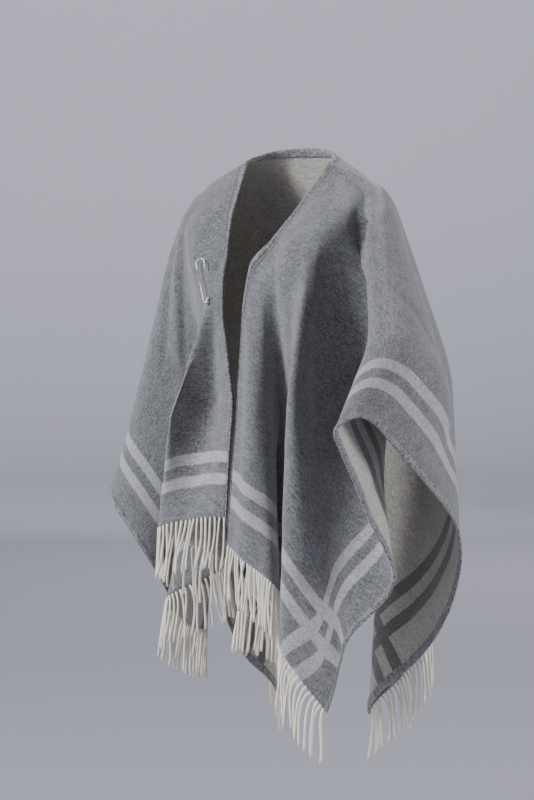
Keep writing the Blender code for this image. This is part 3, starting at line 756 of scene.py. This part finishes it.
# %% A band's outline
Section = namedtuple("Section", "inward height")
BAND = [  # from the free edge inside, round the lip, to the free edge outside, and back along the cloth
    Section(1.00, -0.0005),
    Section(0.97, -0.0014),
    *(Section(inward, -0.0018) for inward in (0.86, 0.74, 0.62, 0.50, 0.38, 0.26)),
    Section(0.14, -0.0017),
    Section(0.02, -0.0012),
    Section(-0.08, 0.0001),
    Section(-0.12, 0.0012),
    Section(-0.09, 0.0025),
    Section(0.00, 0.0034),
    Section(0.12, 0.0037),
    Section(0.24, 0.0037),
    Section(0.36, 0.0036),
    Section(0.46, 0.0033),
    Section(0.49, 0.0028),
    Section(0.25, 0.0027),
    Section(-0.03, 0.0021),
    Section(-0.03, 0.0004),
    Section(0.10, -0.0003),
    Section(0.60, -0.0003),
]
SHOWN = 19  # the first points of the outline, which aren't against the cloth
OUTSIDE = slice(14, 19)  # the points that lie on the cloth's outer face, which a band can spread wider
LUMP_SIZE = 0.0032
FINE_LUMP_SIZE = 0.0017
EDGE_STEP = 0.002
TURN_WINDOW = 9  # the steps that a corner's turn is smoothed over
print(f"a band's outline has {len(BAND)} points, {SHOWN} of them in view")


# %% A band carried along an edge
def edge_path(corners, step):
    """Even steps along straight runs between flat corners: their distances along, their places, and the
    direction out of the cloth at each, which turns smoothly at the corners.
    """
    corners = np.array(corners, float)
    along = np.concatenate([[0], np.cumsum(np.hypot(*np.diff(corners, axis=0).T))])
    places = np.linspace(0, along[-1], int(along[-1] / step) + 1)
    path = np.stack([np.interp(places, along, corners[:, axis]) for axis in (0, 1)], 1)
    heading = unit(np.gradient(path, axis=0))
    margin = TURN_WINDOW // 2
    padded = np.pad(heading, ((margin, margin), (0, 0)), mode="edge")
    window = np.ones(TURN_WINDOW) / TURN_WINDOW
    heading = unit(np.stack([np.convolve(padded[:, axis], window, "valid") for axis in (0, 1)], 1))
    return places, path, np.stack([-heading[:, 1], heading[:, 0]], 1)


def fill_ends(shape):
    """Fills a band's two open ends."""
    bmesh.ops.holes_fill(shape, edges=[edge for edge in shape.edges if edge.is_boundary], sides=0)


def band(name, path, away, width, right, lumps, spread, node):
    """The outline carried along an edge. `width` is how far the band reaches in, `lumps` is how far felted
    loops move its free points up and down, and `spread` widens its part on the cloth's outer face.
    """
    reach = np.array([section.inward for section in BAND])[:, None] * width
    reach[OUTSIDE] *= spread
    height = np.array([section.height for section in BAND])[:, None] + np.zeros(len(path))
    across = path[:, 0] - reach * away[:, 0]
    down = path[:, 1] - reach * away[:, 1]
    coarse = lumps * smooth_noise(across + height, down, LUMP_SIZE, 5)
    fine = 0.6 * lumps * smooth_noise(across, down, FINE_LUMP_SIZE, 6)
    free = (np.arange(len(BAND)) < SHOWN)[:, None]
    height = height + np.where(free, np.sign(height - WALL / 2) * (coarse + fine), 0)
    points = cloth(across, down, height, right=np.broadcast_to(right, across.shape))
    flat = np.stack([across + height, down], 2)
    piece = grid_piece(name, points, np.concatenate([flat, flat[:1]]), [turned_edge], closed=True)
    rework(piece, fill_ends)
    fit(piece, "turned_wool", node)


# %% The side bands
SIDE_BAND = 0.0125
SIDE_LUMPS = 0.0008
SIDE_SPREAD = 1.8
for side, sign in (("left", 1), ("right", -1)):
    ends = [(sign * HALF_WIDTH, sign * HALF_LENGTH), (sign * HALF_WIDTH, -sign * HALF_LENGTH)]
    _, path, away = edge_path(ends, EDGE_STEP)
    band(f"turned_side_{side}", path, away, SIDE_BAND, sign < 0, SIDE_LUMPS, SIDE_SPREAD, f"side_hem_{side}")

# %% The neck and slit band
# The path goes up the slit's right side, round the neck, and down the slit's left side. The oval behind the
# neck is taken at even angles. The band is wide round the neck and narrow below the sewn line's end.
NECK_BAND = 0.0145
SLIT_BAND = 0.0042
NECK_LUMPS = 0.00025
OVAL_POINTS = 39
angle = np.linspace(-np.pi / 2, np.pi / 2, OVAL_POINTS + 2)[1:-1]
oval = np.stack([NECK_HALF * np.sin(angle), -NECK_BACK * np.cos(angle)], 1)
neck_corners = np.concatenate([
    [(0, HALF_LENGTH), (0, NECK_FRONT), (-NECK_HALF, 0)],
    oval,
    [(NECK_HALF, 0), (0, NECK_FRONT), (0, HALF_LENGTH)],
])
places, path, away = edge_path(neck_corners, EDGE_STEP)
turned = np.clip((SEWN_TO - path[:, 1]) / (2 * EDGE_STEP), 0, 1)
width = SLIT_BAND + (NECK_BAND - SLIT_BAND) * turned
band("turned_neck", path, away, width, places < places[-1] / 2, NECK_LUMPS, 1.0, "neck_hem")

# %% [markdown]
# ## Tubes
# Fringe strands, stitches, loose fibres and the pin's wire are all round things carried along paths. Each
# could be a curve with a bevel, but thousands of them are quicker to make as one mesh. Each ring is a circle
# in the plane across its path, with its own radius, and two flat ends close every tube.


# %% Many tubes as one mesh
def tubes(name, paths, radii, sides, side_way, finish, along=None):
    """Tubes along paths (tubes, rings, 3) with radii (tubes, rings). A ring's first direction is the path's
    crossed with side_way, and its second is square to both. The UV map is the share round the tube and the
    distance along it.
    """
    count, rings = paths.shape[:2]
    heading = unit(np.gradient(paths, axis=1))
    first = unit(np.cross(heading, np.broadcast_to(side_way, heading.shape)))
    second = np.cross(first, heading)
    angle = np.linspace(0, 2 * np.pi, sides, endpoint=False)[:, None]
    circle = np.cos(angle) * first[:, :, None] + np.sin(angle) * second[:, :, None]
    points = paths[:, :, None] + radii[:, :, None, None] * circle

    ring, corner = np.divmod(np.arange((rings - 1) * sides), sides)
    near, far, after = ring * sides, (ring + 1) * sides, (corner + 1) % sides
    quads = np.stack([far + corner, far + after, near + after, near + corner], 1)
    base = (np.arange(count) * rings * sides)[:, None, None]
    walls = (quads + base).reshape(-1, 4)
    ends = np.stack([np.arange(sides), (rings - 1) * sides + np.arange(sides)[::-1]])
    caps = (ends + base).reshape(-1, sides)
    if along is None:
        steps = np.linalg.norm(np.diff(paths, axis=1), axis=2)
        along = np.concatenate([np.zeros((count, 1)), np.cumsum(steps, 1)], 1)
    round_share = np.stack([corner, corner + 1, corner + 1, corner], 1) / sides
    lengthwise = along[:, np.stack([ring + 1, ring + 1, ring, ring], 1)]
    wall_uv = np.stack([np.broadcast_to(round_share, lengthwise.shape), lengthwise], -1).reshape(-1, 2)
    uv = np.concatenate([wall_uv, np.zeros((caps.size, 2))])
    corners = np.concatenate([walls.ravel(), caps.ravel()])
    starts = np.concatenate([np.arange(len(walls)) * 4, walls.size + np.arange(len(caps)) * sides])
    smooth = np.arange(len(starts)) < len(walls)
    return new_piece(name, points.reshape(-1, 3), corners, starts, smooth, uv, [finish])


# %% [markdown]
# ## The fringe
# The hems end in strands of ivory yarn, each twisted from two plies. A strand leaves the hem square to it,
# and its own weight soon turns it down. A hair system would comb them too evenly, so each is its own tube
# with its own length, girth and sway. There are 344 of them, so each has only 62 faces, and the twist is in
# the material, where it costs nothing.

# %% Ivory yarn
TWIST = 0.0068  # the length of one turn of the yarn
# The darker ivory is both the yarn's random tone and painted shade in the grooves between its plies.
IVORY_AND_PLY_SHADE = ((0.74, 0.67, 0.53), (1.0, 0.955, 0.83))


def make_yarn():
    """Two plies seen from outside are slanted ridges: the size of the sine of a whole circle times the share
    round the strand plus the turns along it. The ridges, with a fine noise, are both the tone and the height,
    so the grooves between the plies are painted darker as painted shade, and the noise is a random tone.
    """
    finish, tree = new_finish("ivory_yarn")
    work = partial(maths, tree)
    spot = add(tree, "ShaderNodeSeparateXYZ", {0: flat_place(tree)}).outputs
    turns = work("ADD", work("MULTIPLY", spot["Y"], 1 / TWIST), spot["X"])
    # Painted shade: the tone is darker in the grooves between the plies, where the ridge is low.
    ridge = work("ABSOLUTE", work("SINE", work("MULTIPLY", turns, 2 * np.pi)))
    loose = work("MULTIPLY", noise(tree, space_place(tree), 900, 2), 0.5)
    tone = work("ADD", work("MULTIPLY", ridge, 0.6), loose)
    shade(tree, Base_Color=mix(tree, tone, *IVORY_AND_PLY_SHADE), Normal=relief_normal(tree, tone, 0.0007, 0.7))
    shade(tree, Roughness=0.85, Sheen_Weight=0.2)
    return finish


ivory_yarn = make_yarn()
print(f"{ivory_yarn.name}: a turn every {TWIST * 1000:.1f} mm")

# %% The strands
STRAND_PITCH = 0.009
STRAND_LENGTH = 0.093
STRAND_RADIUS = 0.0022
STRAND_RINGS = 11
STRAND_SIDES = 6
STRAND_TURN = 0.018  # how soon a strand turns from square to the hem to hanging
STRAND_WEIGHT = 0.9  # how strongly its weight turns a strand, next to the cloth's own slope
STRAND_LEAN = 0.11  # how strongly chance turns it to one side or the other
STRAND_SWAY = 0.18
SWAY_LENGTH = 0.026  # along the strand for each radian of its sway
HEM_STEP = 0.01  # the directions at the hem are measured over this distance
ROOT_IN = 0.0008  # how far inside the hem a strand starts
GIRTH_AT = (0, 0.05, 0.12, 0.86, 0.95, 1.0)  # shares of the length
GIRTH = (1.15, 1.15, 0.96, 1.0, 1.22, 0.95)  # the strand is thick at its root and near its tip
PLUMB = np.array([0.0, 0.0, -1.0])


def fringe(name, across, down, right, node, seed):
    """One strand at each flat place on a hem. Its direction starts square to the hem, at `fall`, and turns to
    a blend of the cloth's own slope and straight down as exp(-distance / STRAND_TURN), with a small sway.
    """
    chance = np.random.default_rng(seed)
    count = len(across)
    past = np.sign(down)
    root = cloth(across, down - past * ROOT_IN, WALL / 2, np.full(count, right))
    turn, reach = turn_and_reach(across, down, right)
    on_hem = worn(turn, reach)
    fall = unit(worn(*turn_and_reach(across, down + past * HEM_STEP, right)) - on_hem)
    slope = unit(worn(turn, reach + HEM_STEP) - on_hem)
    out = outward(turn, reach)
    beside = unit(np.cross(out, fall))

    length = STRAND_LENGTH * chance.uniform(0.96, 1.03, count)
    share = np.linspace(0, 1, STRAND_RINGS)
    along = length[:, None] * share
    square = np.exp(-along / STRAND_TURN)[..., None]
    lean = STRAND_LEAN * chance.normal(size=(count, 1))
    hang = unit(slope + STRAND_WEIGHT * PLUMB + lean * beside)[:, None]
    phase = chance.uniform(0, 2 * np.pi, (count, 1))
    sway = STRAND_SWAY * np.sin(along / SWAY_LENGTH + phase) * chance.uniform(0.2, 1, (count, 1))
    way = unit(square * fall[:, None] + (1 - square) * hang + sway[..., None] * beside[:, None])
    steps = (way[:, 1:] + way[:, :-1]) / 2 * (length / (STRAND_RINGS - 1))[:, None, None]
    paths = root[:, None] + np.concatenate([np.zeros((count, 1, 3)), np.cumsum(steps, 1)], 1)

    radii = STRAND_RADIUS * np.interp(share, GIRTH_AT, GIRTH) * chance.uniform(0.9, 1.1, (count, 1))
    along = along + chance.uniform(0, 1, (count, 1))
    fit(tubes(name, paths, radii, STRAND_SIDES, out[:, None], ivory_yarn, along), "ivory_fringe", node)
    return count


half_hem = (np.arange(int(HALF_WIDTH / STRAND_PITCH)) + 0.5) * STRAND_PITCH
whole_hem = np.concatenate([half_hem[::-1], -half_hem])
strands = fringe("fringe_front_left_yarn", half_hem, HALF_LENGTH, False, "fringe_front_left", 11)
strands += fringe("fringe_front_right_yarn", -half_hem, HALF_LENGTH, True, "fringe_front_right", 12)
strands += fringe("fringe_back_yarn", whole_hem, -HALF_LENGTH, False, "fringe_back", 13)
print(strands, "strands in all")

# %% [markdown]
# ## The kilt pin
# A large silver safety pin closes the right front for show. Its wire comes out of the cloth, winds once and
# a half round a small coil, and runs up to a clasp: two short sleeves joined by a thin bridge. It could be
# put together from cylinders and rings, but a tube along one path has no seams, as the real one is bent from
# one wire. The places are the plain pin's own, in the pin's directions across, up and off the cloth, with
# more points on each curve.

# %% Bright wire
SILVER = ((0.74, 0.73, 0.72), (0.93, 0.92, 0.90))
SILVER_ROUGHNESS = (0.34, 0.56)


def make_silver():
    """Drawn wire: a bright metal, dulled unevenly by handling."""
    finish, tree = new_finish("bright_silver_wire")
    handled = noise(tree, space_place(tree), 260, 4)
    low, high = SILVER_ROUGHNESS
    dull = add(tree, "ShaderNodeMapRange", {"Value": handled, "To Min": low, "To Max": high}).outputs[0]
    shade(tree, Base_Color=mix(tree, handled, *SILVER), Roughness=dull, Metallic=1.0)
    return finish


silver = make_silver()
print(f"{silver.name}: roughness {SILVER_ROUGHNESS[0]} to {SILVER_ROUGHNESS[1]}")

# %% The pin's sizes
# Tables are in metres across, up and off the cloth.
PIN_WIRE = 0.001  # the wire's radius
WIRE_SIDES = 20
PIN_LIFT = 0.0014  # from the cloth's outer face to the lowest wire's middle
PIN_FOOT_CUT = (-0.062, 0.268)  # the coil's middle on the flat cut, across and down
PIN_HEAD_CUT = (-0.094, 0.196)  # the clasp's middle
COIL_RADIUS = 0.0032
COIL_TURNS = 1.5
COIL_RISE = 0.0026  # from one turn of the wire to the next
COIL_RINGS = 60
PIN_STUB = (0.0052, 0.009, 0.0)  # where the pointed leg goes into the cloth
PIN_LEG_TOP = (-0.0083, 0.0560, 0.0032)
CLASP_RADIUS = 0.0013
CLASP_RINGS = 72
CLASP_PATH = [
    (-0.0083, 0.0570, 0.0032),
    (-0.0088, 0.0690, 0.0032),
    (-0.0072, 0.0730, 0.0032),
    (-0.0030, 0.0748, 0.0032),
    (0.0030, 0.0748, 0.0032),
    (0.0072, 0.0730, 0.0032),
    (0.0088, 0.0690, 0.0030),
    (0.0083, 0.0570, 0.0028),
]
CLASP_WIDTHS = (1, 1, 0.6, 0.5, 0.5, 0.6, 1, 1)  # as shares of its radius
pin_length = max(point[1] for point in CLASP_PATH) + CLASP_RADIUS + COIL_RADIUS + PIN_WIRE
print(f"the pin is {pin_length * 1000:.0f} mm long")


# %% The pin's directions and its two pieces
def pin_axes():
    """The coil's place on the right front, and the pin's three directions: across, up and off the cloth."""
    foot, head = (turn_and_reach(*spot, True) for spot in (PIN_FOOT_CUT, PIN_HEAD_CUT))
    lifts = [outward(*spot) for spot in (foot, head)]
    origin, top = (worn(*spot) + (WALL + PIN_LIFT) * lift for spot, lift in zip((foot, head), lifts))
    up = unit(top - origin)
    off = unit(sum(lifts) - (sum(lifts) * up).sum() * up)
    return origin, np.stack([np.cross(up, off), up, off])


def wire(name, path, radii, node):
    """A round wire along a path in the pin's directions."""
    origin, axes = pin_axes()
    piece = tubes(name, (origin + path @ axes)[None], radii[None], WIRE_SIDES, axes[2], silver)
    fit(piece, "silver_wire", node)


share = np.linspace(0, 1, COIL_RINGS)
angle = -2 * np.pi * COIL_TURNS * share
coil = np.stack([COIL_RADIUS * np.cos(angle), COIL_RADIUS * np.sin(angle), COIL_RISE * COIL_TURNS * share], 1)
leg = np.concatenate([[PIN_STUB], coil, [PIN_LEG_TOP]])
wire("pin_wire", leg, np.full(len(leg), PIN_WIRE), "kilt_pin")

knots = np.linspace(0, 1, len(CLASP_PATH))
share = np.linspace(0, 1, CLASP_RINGS)
sleeve = np.interp(share, knots, CLASP_WIDTHS) * CLASP_RADIUS
wire("pin_sleeves", through(knots, np.array(CLASP_PATH), share), sleeve, "pin_clasp")

# %% [markdown]
# ## Stitches
# The sewn line is a groove with thread in it. The thread could be a dashed line in the material, but it
# would lie flat in the groove. Each stitch is a short bent tube that starts and ends inside the cloth.

# %% The stitches along the neck
STITCH_PITCH = 0.0052
STITCH_RADIUS = 0.00035
STITCH_SIDES = 5
STITCH_ALONG = np.array([-0.0019, -0.0012, 0.0, 0.0012, 0.0019])  # a stitch's points, from its middle
STITCH_LIFT = np.array([-0.0004, 0.0000, 0.0002, 0.0000, -0.0004])  # over the cloth's outer face
LAST_STITCH = SEWN_TO - 0.003  # how far down the slit

places, path, away = edge_path(neck_corners, STITCH_PITCH)
shown = path[:, 1] < LAST_STITCH
right = (places < places[-1] / 2)[shown]
path, away = path[shown], away[shown]
heading = np.stack([away[:, 1], -away[:, 0]], 1)
flat = (path - SEWN_IN * away)[:, None] + STITCH_ALONG[:, None] * heading[:, None]
paths = cloth(flat[..., 0], flat[..., 1], STITCH_LIFT + WALL, np.broadcast_to(right[:, None], flat.shape[:2]))
radii = np.full(paths.shape[:2], STITCH_RADIUS)
fit(tubes("neck_stitches", paths, radii, STITCH_SIDES, PLUMB + 0.01, thread), "turned_wool")

# %% [markdown]
# ## The nap's loose fibres
# Brushing raises single fibres a few millimetres off the cloth. They are too fine to be seen one by one, but
# they soften every outline, and at the turned edges they stand thick. A hair system could grow them, but
# these are meshes, so that they are kept wherever the model goes. Each is a thin three-sided spike with its
# root in the cloth, and its lean is random.

# %% The raised fibres
FIBRE_GREYS = ((0.08, 0.08, 0.083), (0.62, 0.62, 0.63))
FIBRE_LENGTH = (0.0020, 0.0045)  # the shortest and the longest
FIBRE_RADII = (0.00012, 0.00003)  # at its root and at its tip
FIBRE_IN = 0.0004  # how far it starts inside the cloth
FIBRE_SIDES = 3
FIBRE_STAND = 0.5  # how strongly it stands off the cloth
FIBRE_LEAN = 0.7  # how strongly chance turns it
SLOPE_STEP = 0.008  # the cloth's slope is measured over this distance


def make_raised_fibre():
    """Fibres of many greys: one coarse noise of the place picks each fibre's grey."""
    finish, tree = new_finish("raised_fibre")
    pick = noise(tree, space_place(tree), 350, 1)
    shade(tree, Base_Color=mix(tree, pick, *FIBRE_GREYS), Roughness=0.9)
    return finish


def fibres(name, across, down, away, seed):
    """A fibre at each flat place. `away` is how strongly it leans along the cloth, away from the neck."""
    chance = np.random.default_rng(seed)
    count = len(across)
    right = across < 0
    turn, reach = turn_and_reach(across, down, right)
    root = cloth(across, down, WALL * chance.uniform(0.5, 1.0, count), right)
    out = outward(turn, reach)
    slope = unit(worn(turn, reach) - worn(turn, reach - SLOPE_STEP))
    lean = chance.normal(size=(count, 2)) * FIBRE_LEAN
    way = unit(FIBRE_STAND * out + (away + lean[:, :1]) * slope + lean[:, 1:] * np.cross(out, slope))
    length = chance.uniform(*FIBRE_LENGTH, (count, 1))
    paths = np.stack([root - FIBRE_IN * way, root + length * way], 1)
    radii = np.broadcast_to(FIBRE_RADII, (count, 2))
    side_way = unit(chance.normal(size=(count, 1, 3)))
    fit(tubes(name, paths, radii, FIBRE_SIDES, side_way, raised_fibre), "grey_wool")


# %% Where they stand: all over the cloth, and thick along its side edges
FIELD_FIBRES = 13000
EDGE_FIBRES = 8000
EDGE_DEPTH = 0.004  # how far in from a side edge its fibres stand
EDGE_END = 0.998 * HALF_LENGTH  # they stop just short of the corners
NECK_CLEAR = 0.01
FIELD_COMB, EDGE_COMB = 0.3, 0.8  # how strongly they lean away from the neck

raised_fibre = make_raised_fibre()
scatter = np.random.default_rng(21)
spots = scatter.uniform(-1, 1, (FIELD_FIBRES, 2)) * (HALF_WIDTH, HALF_LENGTH)
spots = spots[np.hypot(*spots.T) > neck_reach(np.arctan2(*spots.T) % (2 * np.pi)) + NECK_CLEAR]
fibres("nap_fibres", *spots.T, FIELD_COMB, 22)
edge_side = np.sign(scatter.uniform(-1, 1, EDGE_FIBRES))
edge_down = scatter.uniform(-1, 1, EDGE_FIBRES) * EDGE_END
edge_across = edge_side * (HALF_WIDTH - EDGE_DEPTH * scatter.uniform(0, 1, EDGE_FIBRES))
fibres("edge_fibres", edge_across, edge_down, EDGE_COMB, 23)

# %% [markdown]

# %% [markdown]
# ## The studio
# A round seamless bowl stands about the cape: a floor that curves up into a wall. A flat backdrop would do
# for one view, but with the bowl no line shows between floor and wall, and the cape has pale paper behind it
# from every side. It is wider than the farthest camera stands, or that camera would look at its outside.

# %% The bowl of paper
FLOOR = -1.36
FLOOR_RINGS = (0.0, 2.0, 4.0)  # how far out the flat floor has its rings
FLAT_OUT = 7.0  # how far the floor is flat
BOWL_BEND = 3.0
BEND_STEPS = 24
WALL_TOP = 6.0  # over the floor
BOWL_SIDES = 96
# Painted light: the paper's colour runs from the near grey to a lighter one far out, to make up for the
# lamps' light falling off.
NEAR_PAPER, NEAR_OUT = (0.385, 0.381, 0.435), 3.0
FAR_PAPER_PAINTED_LIGHT, FAR_OUT = (0.80, 0.79, 0.87), 9.5


def make_paper():
    """Paper painted lighter with its distance from the cape, where it gets less of the light: painted light.
    """
    finish, tree = new_finish("studio_paper")
    distance = add(tree, "ShaderNodeVectorMath", {0: space_place(tree)}, operation="LENGTH").outputs["Value"]
    ends = {"Value": distance, "From Min": NEAR_OUT, "From Max": FAR_OUT}
    far = add(tree, "ShaderNodeMapRange", ends).outputs["Result"]
    # Painted light: the paper is lighter where it gets less of the lamps' light.
    shade(tree, Base_Color=mix(tree, far, NEAR_PAPER, FAR_PAPER_PAINTED_LIGHT), Roughness=0.95)
    return finish


def merge_doubles(shape):
    """Merges the bowl's doubled points, which lie at its middle."""
    bmesh.ops.remove_doubles(shape, verts=shape.verts, dist=1e-5)


def make_bowl():
    """A profile turned about the cape: flat, then a quarter circle, then straight up."""
    bend = np.linspace(0, np.pi / 2, BEND_STEPS)[1:]
    edge = FLAT_OUT + BOWL_BEND
    out = np.concatenate([FLOOR_RINGS, [FLAT_OUT], FLAT_OUT + BOWL_BEND * np.sin(bend), [edge]])
    level = np.zeros(len(FLOOR_RINGS) + 1)
    height = FLOOR + np.concatenate([level, BOWL_BEND * (1 - np.cos(bend)), [WALL_TOP]])
    turn = np.linspace(0, 2 * np.pi, BOWL_SIDES + 1)[:, None]
    flat = np.stack(np.broadcast_arrays(turn, out), 2)
    turn = turn[:-1]
    points = np.stack(np.broadcast_arrays(out * np.cos(turn), out * np.sin(turn), height), 2)
    bowl = grid_piece("studio_bowl", points, flat, [make_paper()], closed=True)
    rework(bowl, merge_doubles)
    print(f"the bowl reaches {edge:.0f} m out and {WALL_TOP:.0f} m up")


make_bowl()

# %% Camera
VIEW_AZIMUTH, VIEW_ELEVATION = np.radians(38), np.radians(5)
CAMERA_PLACE = np.array([2.753, -3.584, -0.024])
LENS = 115.4  # mm, for a frame 36 mm high
FRAME_HEIGHT = 36


def look(thing, place, at):
    """Puts the thing at a place and turns its -Z towards a point, with its +Y up."""
    back_way = unit(np.asarray(place, float) - np.asarray(at, float))
    right_way = unit(np.cross((0, 0, 1), back_way))
    matrix = np.eye(4)
    matrix[:3, :3] = np.stack([right_way, np.cross(back_way, right_way), back_way], 1)
    matrix[:3, 3] = place
    thing.matrix_world = [list(row) for row in matrix.T]


camera = bpy.data.objects.new("camera", bpy.data.cameras.new("camera"))
bpy.context.scene.collection.objects.link(camera)
camera.data.sensor_fit = "VERTICAL"
camera.data.sensor_height = FRAME_HEIGHT
camera.data.lens = LENS
level_way = np.array([-np.sin(VIEW_AZIMUTH), np.cos(VIEW_AZIMUTH), 0.0])
forward = level_way * np.cos(VIEW_ELEVATION) - np.array([0, 0, np.sin(VIEW_ELEVATION)])
look(camera, CAMERA_PLACE, CAMERA_PLACE + forward)
bpy.context.scene.camera = camera
print(f"the camera stands {np.linalg.norm(CAMERA_PLACE):.1f} m from the neck")

# %% [markdown]
# ## The lights
# A strong soft light high on the left gives the folds their shape. A weaker one on the right and one low in
# front keep the shadows open, two from behind brighten the outline, and one that faces away from the cape
# lights the paper beyond it. A single light would leave the hollows black. The lamps are hidden from the
# camera, as one of them may stand before it in a view from another side.

# %% Soft lights
Softbox = namedtuple("Softbox", "name turn height distance size watts colour way")
TO_CAPE, TO_PAPER = -1, 1
LIGHTS = [  # turns are in degrees from the camera's direction, about the cape's middle
    Softbox("key", -64, 3.2, 5.0, 2.0, 480, (0.93, 0.955, 1.0), TO_CAPE),
    Softbox("side", 74, 0.9, 3.0, 1.0, 70, (0.97, 0.98, 1.0), TO_CAPE),
    Softbox("low", -35, -1.0, 3.0, 1.0, 20, (1.0, 0.97, 0.93), TO_CAPE),
    Softbox("top", 150, 3.0, 1.6, 1.6, 20, (0.94, 0.96, 1.0), TO_CAPE),
    Softbox("paper", 184, 1.8, 3.4, 3.4, 165, (0.93, 0.955, 1.0), TO_PAPER),
    Softbox("back", 165, 1.8, 5.0, 1.6, 60, (0.95, 0.97, 1.0), TO_CAPE),
]
CAPE_MIDDLE = np.array([0.0, 0.0, -0.45])
ROOM_COLOUR = (0.84, 0.83, 0.83, 1)
ROOM_STRENGTH = 0.06

for box in LIGHTS:
    light = bpy.data.lights.new(box.name, "AREA")
    light.size = box.size
    light.energy = box.watts
    light.color = box.colour
    lamp = bpy.data.objects.new(box.name, light)
    lamp.visible_camera = False
    bpy.context.scene.collection.objects.link(lamp)
    turn = VIEW_AZIMUTH + np.radians(box.turn)
    out = box.distance * np.array([np.sin(turn), -np.cos(turn), box.height / box.distance])
    look(lamp, CAPE_MIDDLE + out, CAPE_MIDDLE + out + box.way * out)

world = bpy.data.worlds.new("studio")
world.use_nodes = True
room = {"Color": ROOM_COLOUR, "Strength": ROOM_STRENGTH}
connect(world.node_tree, world.node_tree.nodes["Background"], room)
bpy.context.scene.world = world
print(len(LIGHTS), "lights:", ", ".join(box.name for box in LIGHTS))
